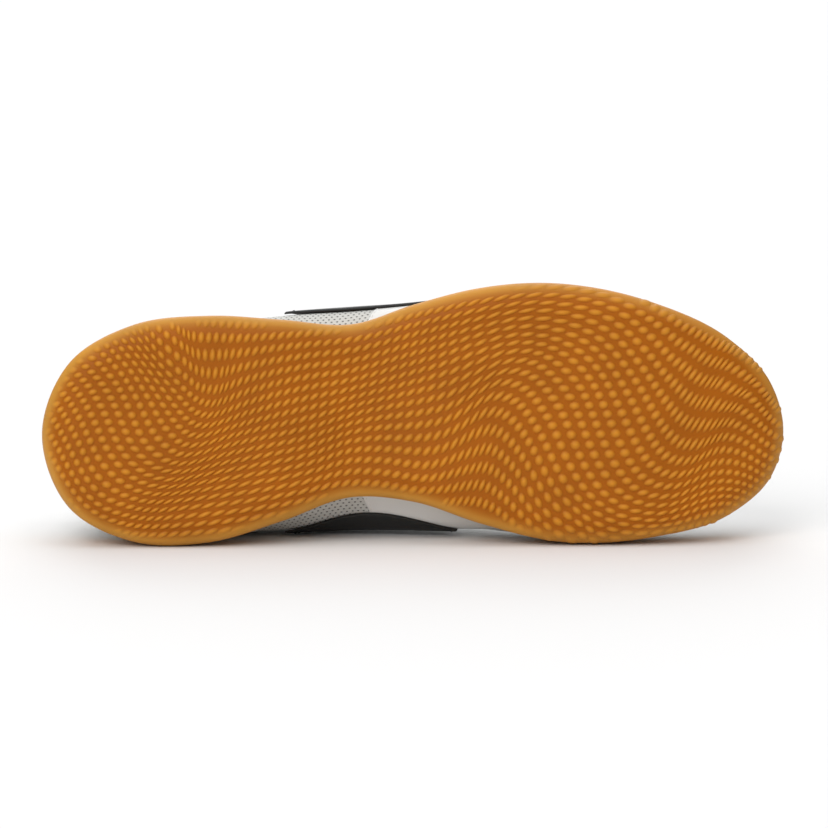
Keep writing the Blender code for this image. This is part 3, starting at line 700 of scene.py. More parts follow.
def dottedFinish(name, colour, openingShade, pitch, dotSize, depth, roughness):
    # A knit or mesh: rows of small openings by the distances along and up the piece, painted darker as the
    # shade inside them
    made, tree, shader = startFinish(name, colour, roughness)
    row = sums(tree, "DIVIDE", readAttribute(tree, "upMm"), pitch[1])
    odd = sums(tree, "MODULO", sums(tree, "FLOOR", row, 0.0), 2.0)
    column = sums(tree, "DIVIDE", readAttribute(tree, "alongMm"), pitch[0])
    column = sums(tree, "ADD", column, sums(tree, "MULTIPLY", odd, dots["stagger"]))
    squares = []
    for value, step, size in ((column, pitch[0], dotSize[0]), (row, pitch[1], dotSize[1])):
        fromMiddle = sums(tree, "SUBTRACT", sums(tree, "FRACT", value, 0.0), 0.5)
        away = sums(tree, "MULTIPLY", fromMiddle, step / size)
        squares.append(sums(tree, "MULTIPLY", away, away))
    away = sums(tree, "SQRT", sums(tree, "ADD", *squares), 0.0)
    solid = remap(tree, away, *dots["edge"], kind="SMOOTHSTEP")
    yarn = noise(tree, objectPlace(tree), *dots["yarn"])
    darker, lighter = (tuple(min(1.0, c * share) for c in colour) for share in dots["yarnShades"])
    cloth = blendColours(tree, yarn, darker, lighter)
    # The openings take the painted shade colour, the cloth between them its own
    tree.links.new(blendColours(tree, solid, openingShade, cloth), shader.inputs["Base Color"])
    height = sums(tree, "ADD", solid, sums(tree, "MULTIPLY", yarn, dots["yarnDepth"]))
    bump(tree, shader, height, dots["bump"], depth)
    return made


gumRubber = gumFinish()
# Colour, roughness, scale and depth of the grain, mottle, gloss
synthetics = {
    "white_synthetic_smooth": ((0.74, 0.74, 0.72), 0.42, 900.0, 0.00006, 0.04, 0.5),
    "eyestay_synthetic_smooth": ((0.76, 0.76, 0.75), 0.45, 900.0, 0.00006, 0.04, 0.5),
    "black_synthetic": ((0.010, 0.0105, 0.010), 0.52, 1100.0, 0.00009, 0.15, 0.35),
    "thread_white": ((0.78, 0.78, 0.76), 0.7, 3000.0, 0.00003, 0.04, 0.5),
    "thread_black": ((0.03, 0.03, 0.03), 0.7, 3000.0, 0.00003, 0.04, 0.5),
}
vampWhite, eyestayWhite, panelBlack, threadWhite, threadBlack = (
    plainFinish(name, *values) for name, values in synthetics.items())
# Colours of cloth and of the painted shade in its openings, pitch and size of the openings in mm, depth,
# roughness
cloths = {
    "grey_knit": ((0.60, 0.60, 0.57), (0.16, 0.16, 0.15), (2.1, 1.5), (0.8, 0.7), 0.00025, 0.8),
    "lining_mesh": ((0.50, 0.51, 0.51), (0.22, 0.22, 0.22), (1.3, 1.1), (0.55, 0.5), 0.00015, 0.9),
    "tongue_mesh_white": ((0.72, 0.72, 0.71), (0.36, 0.36, 0.36), (2.2, 1.8), (0.8, 0.75), 0.0003, 0.85),
    "insole_cloth": ((0.45, 0.46, 0.46), (0.25, 0.25, 0.25), (1.0, 1.0), (0.4, 0.4), 0.0001, 0.95),
    "lace_woven": ((0.78, 0.78, 0.76), (0.50, 0.50, 0.48), (0.9, 0.6), (0.45, 0.26), 0.00012, 0.8),
}
quarterKnit, liningGrey, tongueMesh, insoleCloth, laceCloth = (
    dottedFinish(name, *values) for name, values in cloths.items())
print("finishes ready")


# Outsole: the moulded cup, with its tread's base drawn in by the height of the nubs

tread = {
    "relief": 0.0007,          # height of the nubs
    "plainBand": 0.0012,       # from the outline to where nubs begin
    "fullBand": 0.0045,        # and to where they have their full height
    "toeStart": 0.62,          # from this share of the length nubs reach the outline
    "toeRun": 0.12,
    "toeEdge": 0.55,           # share of the nub height left at the toe's outline
    "toneBand": 0.0060,        # from the outline to where the painted valley shade and nub highlight are at full strength
    "toneEdge": 0.80,
    "climb": 1.5,              # slope of a nub where it passes the outline, and its most
    "climbTop": 0.0009,
}
outlineStops = np.linspace(0, turns, 3000, endpoint=False)
outlineDense = outline(outlineStops, 0.0)
outlineInward = outline(outlineStops, 1.0) - outlineDense


def edgeDistance(x, y):
    # Signed distance from the outline, positive inside, and the way inward
    place = np.stack([np.ravel(x), np.ravel(y)], axis=1)
    distance, inward = np.zeros(len(place)), np.zeros((len(place), 2))
    for start in range(0, len(place), 4000):
        part = place[start:start + 4000]
        squares = ((part[:, None] - outlineDense[None]) ** 2).sum(axis=2)
        nearest = squares.argmin(axis=1)
        inward[start:start + 4000] = outlineInward[nearest]
        away = part - outlineDense[nearest]
        distance[start:start + 4000] = (away * outlineInward[nearest]).sum(axis=1)
    return distance.reshape(np.shape(x)), inward.reshape(*np.shape(x), 2)


def reliefShare(x, distance):
    atToe = smoothStep((x / shoe["length"] - tread["toeStart"]) / tread["toeRun"])
    span = tread["fullBand"] - tread["plainBand"]
    inside = smoothStep((distance - tread["plainBand"]) / span)
    toeInside = tread["toeEdge"] + (1 - tread["toeEdge"]) * smoothStep(distance / tread["fullBand"])
    return inside * (1 - atToe) + toeInside * atToe


# Share of the plain colour, which takes the painted valley shade and nub highlight away near the outline
def plainTone(share, distance):
    return np.maximum(1 - share, tread["toneEdge"] * (1 - smoothStep(distance / tread["toneBand"])))


def soleSurface(x, y):
    # Points of the tread's outer face, the way into the rubber, and the nubs' share there
    distance, inward = edgeDistance(x, y)
    inside = np.clip(distance, 0.0, cup["edgeReach"])
    sine = 1 - inside / cup["edgeReach"]
    cosine = np.sqrt(np.clip(1 - sine**2, 0, 1))
    over = np.clip(-distance, 0, None)
    climb = np.minimum(over * tread["climb"], tread["climbTop"])
    z = treadHeight(x) + cup["edgeRise"] * (1 - cosine) + climb
    flat = cup["edgeRise"] * sine
    rise = cup["edgeReach"] * cosine
    slope = np.stack([inward[..., 0] * flat, inward[..., 1] * flat, rise], axis=-1)
    slope /= np.maximum(np.linalg.norm(slope, axis=-1, keepdims=True), 1e-12)
    x = x + inward[..., 0] * over
    y = y + inward[..., 1] * over
    share = reliefShare(x, distance)
    return np.stack([x, y, z], axis=-1), slope, share, plainTone(share, distance)


def buildOutsole():
    count = cup["columns"]
    at = np.arange(count) * turns / count
    rings, shares, tones = [], [], []
    roundRings, wallRings = cup["roundRings"], cup["wallRings"]
    for angle in np.radians(np.linspace(0, 90, roundRings)):
        inset = cup["edgeReach"] * (1 - math.sin(angle))
        lift = cup["edgeRise"] * (1 - math.cos(angle))
        base = ring(at, inset, lambda x, up=lift: treadHeight(x) + up)
        plan = outline(at, 1.0) - outline(at, 0.0)
        inward = np.column_stack([plan * cup["edgeRise"] * math.sin(angle),
                                  np.full(count, cup["edgeReach"] * math.cos(angle))])
        inward = unit(inward)
        share = reliefShare(base[:, 0], np.full(count, inset))
        rings.append(base + inward * (tread["relief"] * share)[:, None])
        shares.append(share)
        tones.append(plainTone(share, np.full(count, inset)))
    rim = rimHeight(at)
    low = ring(at, 0.0, lambda x: treadHeight(x) + cup["edgeRise"])[:, 2]
    high = rim - cup["rimRound"]
    edgeDraw = tread["relief"] * shares[-1]
    for share in np.linspace(0, 1, wallRings)[1:]:
        groove = np.prod([smoothStep(away / cup["grooveEdge"]) for away in
                          (share - cup["groove"][0], cup["groove"][1] - share)])
        draw = edgeDraw * (1 - smoothStep(share / cup["drawOut"]))
        inset = cup["lean"] * share + cup["grooveDepth"] * groove + draw
        rings.append(ring(at, inset, low + (high - low) * share))
        tones.append(1 - (1 - tones[roundRings - 1]) * (1 - smoothStep(share / cup["drawOut"])))
    for angle in np.radians([30, 60, 90]):
        inset = cup["lean"] + cup["rimRound"] * (1 - math.cos(angle))
        rings.append(ring(at, inset, high + cup["rimRound"] * math.sin(angle)))
    rings.append(ring(at, cup["wall"] - cup["rimRound"] / 2, rim))
    rings.append(ring(at, cup["wall"], rim - cup["rimRound"] / 2))
    rings.append(ring(at, cup["wall"], floorHeight))
    points = np.concatenate(rings)
    inside, face = rungs(rings[0], cup["rungPoints"], 0, len(points))
    # Rungs run straight across, so their points take their own height from the tread
    inside[:, 2] = treadHeight(inside[:, 0]) + tread["relief"]
    faces = strips(len(rings), count).tolist() + face
    faces += ladder((len(rings) - 1) * count, count)
    obj = addMesh("outsole_cup", np.concatenate([points, inside]), faces, gumRubber, sharp=40)
    plain = np.ones(len(points) + len(inside))
    plain[:len(tones) * count] = np.concatenate(tones)
    plain[len(points):] = 0
    setAttribute(obj, "plainShare", plain)
    # The tread's base between the nubs takes the valley's painted shade
    setAttribute(obj, "crestLight", np.zeros(len(plain)))
    return obj


# Tread nubs, on one lattice that swirls over the sole.  The chart was read one by one: for
# some rows, counted down from the waist's top edge, it has (nub, across, down), where the
# nubs are counted along the row and places are in photo pixels.
nubChart = {
    -3: ((19, 642, 313), (22, 666, 331), (26, 692, 349), (31, 720, 363), (36, 750, 378), (39, 765, 391)),
    -2: ((-22, 193, 336), (-19, 216, 337), (17, 613, 308), (20, 643, 330), (24, 671, 358),
         (28, 693, 375), (33, 720, 382), (38, 748, 394), (44, 776, 421)),
    0: ((-28, 159, 341), (-25, 185, 361), (-22, 203, 372), (-19, 223, 372), (-8, 307, 356), (-2, 367, 347)),
    1: ((-29, 154, 348), (-26, 179, 372), (-23, 198, 387), (-20, 216, 390), (-18, 226, 387),
        (-8, 307, 366), (-3, 356, 360), (1, 396, 349), (5, 433, 339), (8, 464, 331), (10, 492, 324),
        (12, 525, 318), (14, 561, 321), (17, 600, 339), (20, 624, 364), (23, 642, 390),
        (27, 661, 423), (31, 681, 444), (34, 701, 445), (38, 726, 437), (41, 747, 443), (44, 767, 456)),
    5: ((-8, 304, 409), (-4, 343, 400), (0, 382, 390), (5, 432, 377), (8, 468, 366), (10, 498, 354),
        (12, 528, 351), (15, 558, 364), (18, 581, 388), (21, 593, 415), (24, 605, 444),
        (27, 621, 473), (30, 643, 493), (33, 676, 496), (36, 704, 485), (40, 739, 483)),
    6: ((-33, 118, 357), (-30, 137, 379), (-27, 152, 404), (-24, 166, 428), (-21, 185, 445), (-17, 223, 438)),
    8: ((-35, 99, 364), (-32, 117, 384), (-28, 132, 416), (-25, 144, 442), (-22, 167, 461),
        (-8, 302, 439), (-4, 340, 427), (0, 379, 418), (5, 430, 411), (8, 460, 402), (11, 496, 383),
        (14, 525, 389), (17, 542, 409), (20, 557, 435), (23, 571, 467), (26, 591, 496),
        (29, 621, 516), (32, 664, 521), (35, 696, 510), (39, 730, 504)),
    10: ((-35, 83, 380), (-32, 96, 398), (-28, 112, 430), (-25, 126, 456), (-22, 148, 475),
         (-20, 170, 480), (-7, 312, 454), (-3, 348, 442), (1, 388, 438), (5, 428, 437), (8, 456, 429),
         (11, 483, 413), (14, 506, 415), (17, 524, 434), (20, 539, 460), (23, 557, 492),
         (26, 586, 518), (29, 628, 534), (32, 673, 531)),
    12: ((-27, 98, 458), (-25, 112, 474), (-22, 138, 491), (-19, 166, 494), (-7, 310, 472),
         (-3, 349, 461), (1, 388, 461), (5, 426, 466), (8, 453, 459), (11, 476, 452), (13, 489, 449),
         (16, 507, 461), (19, 524, 482), (22, 547, 514), (25, 584, 537)),
    14: ((-25, 102, 496), (-22, 131, 507), (-18, 163, 510), (-16, 183, 508)),
}
nubs = {
    "long": 0.60,              # half a nub's length and width, in steps of the lattice
    "wide": 0.33,
    "slant": 150,              # degrees from the rows to the nubs' length
    "rings": (0.24, 0.46, 0.66, 0.84, 1.0),
    "sides": 12,
    "reach": 6,                # steps from the chart's points within which nubs are made
    "evenness": 1.5,           # how freely the rows pass the chart's points
    "roundness": 1.1,
    "sink": -0.05,             # height of a nub's border, in nub heights
    "fromOutline": 0.0002,     # nubs nearer to the outline or lower than this are left out
    "leastShare": 0.10,
}


def thinPlate(near, far):
    gap = np.linalg.norm(near[:, None] - far[None], axis=2)
    return gap**2 * np.log(np.maximum(gap, 1e-9))


def fitLattice():
    numbers = np.array([(c, row) for row, stops in nubChart.items() for c, _, _ in stops], float)
    places = np.array([soleAt(a, d) for stops in nubChart.values() for _, a, d in stops])
    count = len(numbers)
    plate = np.zeros((count + 3, count + 3))
    plate[:count, :count] = thinPlate(numbers, numbers) + nubs["evenness"] * np.eye(count)
    plate[:count, count] = 1
    plate[:count, count + 1:] = numbers
    plate[count:, :count] = plate[:count, count:].T
    return numbers, np.linalg.solve(plate, np.vstack([places, np.zeros((3, 2))]))


chartNumbers, latticeWeights = fitLattice()


def latticePlace(column, row):
    numbers = np.stack([column, row], axis=1)
    terms = [thinPlate(numbers, chartNumbers), np.ones((len(numbers), 1)), numbers]
    return np.hstack(terms) @ latticeWeights


def buildNubs():
    low, high = chartNumbers.min(axis=0) - nubs["reach"], chartNumbers.max(axis=0) + nubs["reach"]
    column, row = np.meshgrid(np.arange(low[0], high[0] + 1), np.arange(low[1], high[1] + 1))
    column, row = column.ravel(), row.ravel()
    apart = np.abs(np.stack([column, row], axis=1)[:, None] - chartNumbers[None]).max(axis=2)
    column, row = column[apart.min(axis=1) <= nubs["reach"]], row[apart.min(axis=1) <= nubs["reach"]]
    middle = latticePlace(column, row)
    step = 0.25
    alongRow = (latticePlace(column + step, row) - latticePlace(column - step, row)) / (2 * step)
    acrossRow = (latticePlace(column, row + step) - latticePlace(column, row - step)) / (2 * step)
    slant = math.radians(nubs["slant"])
    longWay = (alongRow * math.cos(slant) + acrossRow * math.sin(slant)) * nubs["long"]
    wideWay = (acrossRow * math.cos(slant) - alongRow * math.sin(slant)) * nubs["wide"]
    distance, _ = edgeDistance(middle[:, 0], middle[:, 1])
    share = reliefShare(middle[:, 0], distance)
    keep = (distance > nubs["fromOutline"]) & (share > nubs["leastShare"])
    middle, longWay, wideWay = middle[keep], longWay[keep], wideWay[keep]
    circles = ovals(longWay, wideWay, nubs["sides"])
    places, levels = [middle[:, None]], [np.ones((len(middle), 1))]
    for r in nubs["rings"]:
        places.append(middle[:, None] + circles * r)
        level = (1 - r * r) ** nubs["roundness"] if r < 1 else nubs["sink"]
        levels.append(np.full(circles.shape[:2], level))
    place = np.concatenate(places, axis=1)
    level = np.concatenate(levels, axis=1)
    points, inward, shares, tones = soleSurface(place[..., 0], place[..., 1])
    points = points + inward * (tread["relief"] * shares * (1 - level))[..., None]
    faces = diskFaces(len(middle), len(nubs["rings"]), nubs["sides"])
    obj = addMesh("tread_nubs", points.reshape(-1, 3), faces, gumRubber, sharp=None)
    # Nub tops get the painted highlight and their feet the painted shade, by height
    setAttribute(obj, "crestLight", np.clip(level, 0, 1).ravel())
    setAttribute(obj, "plainShare", tones.ravel())
    return obj


outsole = buildOutsole()
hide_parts("outsole")
treadNubs = buildNubs()
print("outsole and tread", len(treadNubs.data.polygons))


# Upper: one shell with a wall, knit outside and lining inside

upperShell = {
    "wall": 0.0020,
    "padding": 0.0032,
    "columns": 384,
    "rows": 64,
    "innerRows": 30,
    "low": 0.9,               # levels where the even rows start, outside and inside
    "innerLow": (0.7, 1.2),
    "knitRow": 20,            # the row that the knit's stitches are counted along
    "lip": 0.35,
    "padReach": (3.2, 1.0),   # sections from the heel's back: where padding starts to end, how soon
    "padStart": (2.6, 1.2),   # levels up the upper in the same way
    "padThin": (4.5, 0.5, 0.35),   # the same for its thinning at the edge, and by what share
}


def padding(at, level):
    fromHeel = np.minimum(at % turns, turns - at % turns)
    (reach, fade), (start, rise) = upperShell["padReach"], upperShell["padStart"]
    edge, span, thinner = upperShell["padThin"]
    roundAnkle = 1 - smoothStep((fromHeel - reach) / fade)
    nearEdge = smoothStep((level - start) / rise) * (1 - thinner * smoothStep((level - edge) / span))
    return upperShell["padding"] * nearEdge * roundAnkle


def buildUpper():
    count = upperShell["columns"]
    at = np.arange(count) * turns / count
    levels = np.concatenate([[0.0], np.linspace(upperShell["low"], edgeLevel, upperShell["rows"])])
    atGrid, levelGrid = np.meshgrid(at, levels)
    outer, _ = upperFrame(atGrid, levelGrid)
    first, second = upperShell["innerLow"]
    innerLevels = np.concatenate([[0.0, first], np.linspace(second, edgeLevel, upperShell["innerRows"])])
    atInner, levelInner = np.meshgrid(at, innerLevels)
    lining, normals = upperFrame(atInner, levelInner)
    thick = upperShell["wall"] + padding(atInner, levelInner)
    inner = lining - normals * thick[..., None]
    inner[0, :, 2] = lining[0, :, 2]
    up = unit(outer[-1] - outer[-2])
    middle, half = (outer[-1] + inner[-1]) / 2, (outer[-1] - inner[-1]) / 2
    lips = []
    for angle in np.radians([30, 60, 90, 120, 150]):
        lift = up * (thick[-1] * upperShell["lip"] * math.sin(angle))[:, None]
        lips.append(middle + half * math.cos(angle) + lift)
    rows = np.concatenate([outer, np.array(lips), inner[::-1]])
    total = len(rows)
    faces = strips(total, count).tolist()
    last = (total - 1) * count
    faces += [(last + c, last + (c + 1) % count, (c + 1) % count, c) for c in range(count)]
    obj = addMesh("upper_shell", rows.reshape(-1, 3), faces, [quarterKnit, liningGrey])
    # The knit is counted from the heel's back both ways, so its dots meet there
    run = runAlong(outer[upperShell["knitRow"]])
    along = np.tile(np.minimum(run, run[-1] - run), (total, 1))
    setAttribute(obj, "alongMm", along * 1000)
    setAttribute(obj, "upMm", distancesAlong(rows, 0) * 1000)
    inside = np.zeros(len(obj.data.polygons), int)
    inside[(len(outer) + 2) * count:] = 1
    obj.data.polygons.foreach_set("material_index", inside)
    return obj


upper = buildUpper()
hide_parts("upper")


# What is sewn on the upper

overlays = {
    "eyestayWidth": 0.0105,
    "eyestayThickness": 0.0012,
    "eyestayStart": 5.0,
    "vampThickness": 0.0003,
    "vampGap": 0.00005,
    "vampLow": 0.985,          # its lower edge, just behind the cup's rim
    "panelGap": 0.0006,
    "panelThickness": 0.0010,
    "panelBack": 4.0,
    "panelFront": 6.67,
    "panelTopBack": 5.0,
    "panelLow": 2.0,
    "panelDip": 0.36,
    "outerLow": 2.0,           # the outer panel ends higher, at the widest line
    "outerDip": 0.06,
    "outerFront": 6.45,
    "seamLow": 5.05,           # the vamp's seam on the inner side, at the rim and at the top
    "seamHigh": 6.2,
}


def panelPlace(side):
    def place(u, v):
        back = overlays["panelBack"] + (overlays["panelTopBack"] - overlays["panelBack"]) * v
        front = overlays["panelFront"] if side > 0 else overlays["outerFront"]
        at = back + (front - back) * u
        lowest, dip = overlays["panelLow"], overlays["panelDip"]
        if side < 0:
            at = turns - at
            lowest, dip = overlays["outerLow"], overlays["outerDip"]
        low = lowest - dip * (1 - (2 * u - 1) ** 2)
        top = levelBelowEdge(at, overlays["eyestayWidth"] + 2 * shoe["clearance"])
        return at, low + (top - low) * v
    return place


def vampPlace(u, v):
    back = overlays["seamLow"] + (overlays["seamHigh"] - overlays["seamLow"]) * v
    at = back + (turns - 2 * back) * u
    top = levelBelowEdge(at, overlays["eyestayWidth"] + shoe["clearance"])
    return at, overlays["vampLow"] + (top - overlays["vampLow"]) * v


def eyestayPlace(u, v):
    start = overlays["eyestayStart"]
    at = start + (turns - 2 * start) * u
    low = levelBelowEdge(at, overlays["eyestayWidth"])
    high = levelBelowEdge(at, overlays["eyestayWidth"] * 0.04)
    return at, low + (high - low) * v


panels = []
for name, side in (("panel_inner", 1), ("panel_outer", -1)):
    piece = sheetOnUpper(name + "_skin", panelPlace(side), 70, 60, overlays["panelThickness"],
                         overlays["panelGap"], 0.0007, panelBlack, edges=(0.012, 0.015))
    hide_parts(name)
    panels.append(piece)
vamp = sheetOnUpper("vamp_skin", vampPlace, 260, 50, overlays["vampThickness"], overlays["vampGap"],
                    0.0004, vampWhite, edges=(0.003, 0.02))
eyestay = sheetOnUpper("eyestay_skin", eyestayPlace, 260, 14, overlays["eyestayThickness"],
                       shoe["clearance"], 0.0005, eyestayWhite, edges=(0.004, 0.06))
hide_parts("eyestay")
print("upper and overlays")


# Tongue, under the eyestay and standing up behind the top eyelets

tongueShape = {
    "thickness": 0.0036,
    "wing": 0.010,
    "length": 0.024,          # of its free end, which goes on as its last rows do
    "steps": 20,
    "lastRows": 8,
    "front": 11.33,
    "narrowing": (0.94, 0.91, 0.86, 0.74),
    "tilt": 0.35,
    "rounding": 0.6,          # how far the free end's corners fall back
}
tongueTop = -(upperShell["wall"] + 2 * shoe["clearance"])
eyestayTop = shoe["clearance"] + overlays["eyestayThickness"]


def acrossThroat(at, shares, offset=0.0, crown=0.8):
    at = np.atleast_1d(np.asarray(at, float))
    inner, outer = (upperPoint(a, edgeLevel, offset) for a in (at, turns - at))
    innerLow, outerLow = (upperPoint(a, edgeLevel - 0.1, offset) for a in (at, turns - at))
    span = np.linalg.norm(outer - inner, axis=1)[:, None]
    riseIn, riseOut = inner - innerLow, outerLow - outer
    riseIn, riseOut = unit(riseIn) * span * crown, unit(riseOut) * span * crown
    t = np.asarray(shares, float)[None, :, None]
    return bridge(*(part[:, None] for part in (inner, outer, riseIn, riseOut)), t)


def tongueFace(offset, rows=60, wingPoints=10, archPoints=30):
    places = np.linspace(tongueShape["front"], overlays["eyestayStart"], rows)
    wing = np.linspace(0, 1, wingPoints, endpoint=False)
    found = []
    for at in places:
        inWing = levelBelowEdge(np.array([at]), tongueShape["wing"])[0]
        outWing = levelBelowEdge(np.array([turns - at]), tongueShape["wing"])[0]
        inner = upperPoint(np.full(wingPoints, at), inWing + (edgeLevel - inWing) * wing, offset)
        outer = upperPoint(np.full(wingPoints, turns - at), outWing + (edgeLevel - outWing) * wing, offset)
        arch = acrossThroat(at, np.linspace(0, 1, archPoints), offset)[0]
        found.append(np.concatenate([inner, arch, outer[::-1]]))
    run = unit(found[-1].mean(axis=0) - found[-tongueShape["lastRows"]].mean(axis=0))
    steps = tongueShape["steps"]
    last = found[-1]
    side = np.linspace(-1, 1, len(last))[:, None]
    stations = np.cumprod((1.0, *tongueShape["narrowing"]))
    widths = np.interp(np.linspace(0, len(stations) - 1, steps + 1), np.arange(len(stations)), stations)
    for number in range(1, steps + 1):
        heading = run + np.array([0.0, 0.0, tongueShape["tilt"] * number / steps])
        fall = 1 - tongueShape["rounding"] * (number / steps)**2 * side**2
        last = last + unit(heading) * tongueShape["length"] / steps * fall
        middle = last.mean(axis=0)
        width = widths[number] / widths[number - 1]
        last = middle + (last - middle) * np.array([1.0, width, width])
        found.append(last)
    return np.array(found)


tongueUnder = tongueTop - tongueShape["thickness"]
tongue = closedPad("tongue_pad", tongueFace(tongueTop), tongueFace(tongueUnder), tongueMesh)
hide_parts("tongue")


# Insole

insoleShape = {
    "thickness": 0.0045,
    "columns": 192,
    "across": 24,
    "weaveStart": {"alongMm": 0.05, "upMm": 0.1},
}


def buildInsole():
    count = insoleShape["columns"]
    at = np.arange(count) * turns / count
    inset = cup["wall"] + upperShell["wall"] + 4 * shoe["clearance"]
    thick, soft = insoleShape["thickness"], insoleShape["thickness"] / 4
    rings = []
    for angle in np.radians([-90, -45, 0, 45, 90]):
        edge = inset + soft * (1 - math.cos(angle))
        middle = soft if angle < 0 else thick - soft
        lift = middle + soft * math.sin(angle) + (shoe["clearance"] if angle < 0 else 0)
        rings.append(ring(at, edge, lambda x, up=lift: floorHeight(x) + up))
    points = np.concatenate(rings)
    inside, face = rungs(rings[-1], insoleShape["across"], (len(rings) - 1) * count, len(points))
    inside[:, 2] = floorHeight(inside[:, 0]) + thick
    faces = strips(len(rings), count).tolist() + face + ladder(0, count)
    points = np.concatenate([points, inside])
    obj = addMesh("insole_pad", points, faces, insoleCloth, sharp=None)
    for column, (attribute, start) in enumerate(insoleShape["weaveStart"].items()):
        setAttribute(obj, attribute, (points[:, column] + start) * 1000)
    return obj


insole = buildInsole()
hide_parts("insole")
print("tongue and insole")


# Laces and eyelets.  The lace crosses from each pair of eyelets to the next, and its ends
# go in at the top pair.

lace = {
    "width": 0.0060,
    "thickness": 0.0015,
    "pairs": 6,
    "first": 5.22,             # section numbers of the top and the lowest pair
    "last": 8.6,
    "eyeletShare": 0.55,       # of the eyestay's width, from the throat's edge
    "bend": 0.2,
    "stack": 0.72,             # rise of the upper strand, in lace thicknesses
    "rings": 60,
    "sides": 16,
    "sag": ((0, 0), (0.25, 0.3), (0.5, 0.7), (0.75, 0.3), (1, 0)),
    "dip": 0.0026,             # how far an end goes down into its eyelet
    "bunch": 0.55,             # width left in the eyelet
    "bunchRun": 0.0055,
    "eyelet": 0.0021,
    "eyeletSides": 28,
    "cut": (-0.001, 0.004),    # from below the eyestay to above it
    "rim": 0.00032,
    "rimHeight": 0.4,
    "rimSides": 8,
    "across": 0.6,             # powers that square off the lace's section
    "through": 0.8,
    "weaveStart": 0.020,       # where the weave's rows are counted from, across the lace
    "thicken": 0.5,            # how far its thickness grows as it bunches
}


def eyeletPlaces():
    at = np.linspace(lace["first"], lace["last"], 60)
    run = runAlong(lineAt(edgeTable, at))
    return np.interp(np.linspace(0, run[-1], lace["pairs"]), run, at)


def eyelet(at, height):
    level = levelBelowEdge(np.array([at]), overlays["eyestayWidth"] * lace["eyeletShare"])
    return upperPoint([at], level, height)[0]


def laceRoute(first, second, lift):
    near = first + (second - first) * lace["bend"]
    far = second + (first - second) * lace["bend"]
    stops = [eyelet(first, -lace["dip"]), eyelet(first, eyestayTop + lift)]
    for share, sag in lace["sag"]:
        base = eyestayTop + (tongueTop - eyestayTop) * sag
        stops.append(acrossThroat(near + (far - near) * share, [share], base + lift)[0, 0])
    last = turns - second
    stops += [eyelet(last, eyestayTop + lift), eyelet(last, -lace["dip"])]
    levels = np.linspace(0, len(stops) - 1, lace["rings"])
    return risingCurve(np.repeat(np.array(stops)[:, None], len(levels), axis=1), levels)


def throatHeading(at):
    # Towards the toe along the middle of the throat
    ahead = lineAt(edgeTable, [at + 0.2, turns - at - 0.2]) - lineAt(edgeTable, [at - 0.2, turns - at + 0.2])
    return unit(ahead.mean(axis=0))


def buildLaces():
    places = eyeletPlaces()
    lift = 2 * shoe["clearance"] + lace["thickness"] / 2
    over = lift + lace["thickness"] * lace["stack"]
    strands = [(places[-1], places[-1], lift)]
    for upper, lower in zip(places[:-1], places[1:]):
        strands += [(upper, lower, lift), (lower, upper, over)]
    cosine, sine = circle(lace["sides"])
    across = np.sign(cosine) * np.abs(cosine) ** lace["across"] * lace["width"] / 2
    through = np.sign(sine) * np.abs(sine) ** lace["through"] * lace["thickness"] / 2
    points, faces, alongs, ups = [], [], [], []
    for first, second, height in strands:
        route = laceRoute(first, second, height)
        heading = throatHeading((first + second) / 2)
        ahead = unit(np.gradient(route, axis=0))
        side = unit(heading - ahead * (ahead @ heading)[:, None])
        out = np.cross(ahead, side)
        run = runAlong(route)
        fromEnd = np.minimum(run, run[-1] - run)
        width = lace["bunch"] + (1 - lace["bunch"]) * smoothStep(fromEnd / lace["bunchRun"])
        thick = 1 + lace["thicken"] * (1 - width)
        rings = (route[:, None] + side[:, None] * (across[None] * width[:, None])[..., None]
                 + out[:, None] * (through[None] * thick[:, None])[..., None])
        start = sum(len(p) for p in points)
        end = start + len(route) * lace["sides"]
        faces += strips(len(route), lace["sides"], start=start).tolist()
        faces += [range(start, start + lace["sides"]), range(end - lace["sides"], end)]
        points.append(rings.reshape(-1, 3))
        alongs.append(np.repeat(run * 1000, lace["sides"]))
        ups.append(np.tile((across + lace["weaveStart"]) * 1000, len(route)))
    obj = addMesh("lace_strands", np.concatenate(points), faces, laceCloth, sharp=None)
    setAttribute(obj, "alongMm", np.concatenate(alongs))
    setAttribute(obj, "upMm", np.concatenate(ups))
    return obj


def eyeletAxes():
    # The middle of each eyelet, the way out of it and a circle of one metre round it
    places = eyeletPlaces()
    at = np.concatenate([places, turns - places])
    centres, normals = upperFrame(at, levelBelowEdge(at, overlays["eyestayWidth"] * lace["eyeletShare"]))
    first = unit(np.cross(normals, [1.0, 0.0, 0.0]))
    return centres, normals, ovals(first, np.cross(normals, first), lace["eyeletSides"])


def buildRims():
    # One rolled rim round each eyelet, on the eyestay
    centres, normals, circles = eyeletAxes()
    cosine, sine = circle(lace["rimSides"])
    reach = lace["eyelet"] + lace["rim"] * cosine
    height = eyestayTop + lace["rim"] * lace["rimHeight"] * (1 + sine)
    points = (centres[:, None, None] + circles[:, :, None] * reach[:, None]
              + normals[:, None, None] * height[:, None])
    corners = np.arange(points[..., 0].size).reshape(points.shape[:3])
    nextRound, nextTube = np.roll(corners, -1, axis=1), np.roll(corners, -1, axis=2)
    faces = np.stack([corners, nextRound, np.roll(nextRound, -1, axis=2), nextTube], axis=3)
    return addMesh("eyelet_rims", points.reshape(-1, 3), faces.reshape(-1, 4), eyestayWhite, sharp=None)


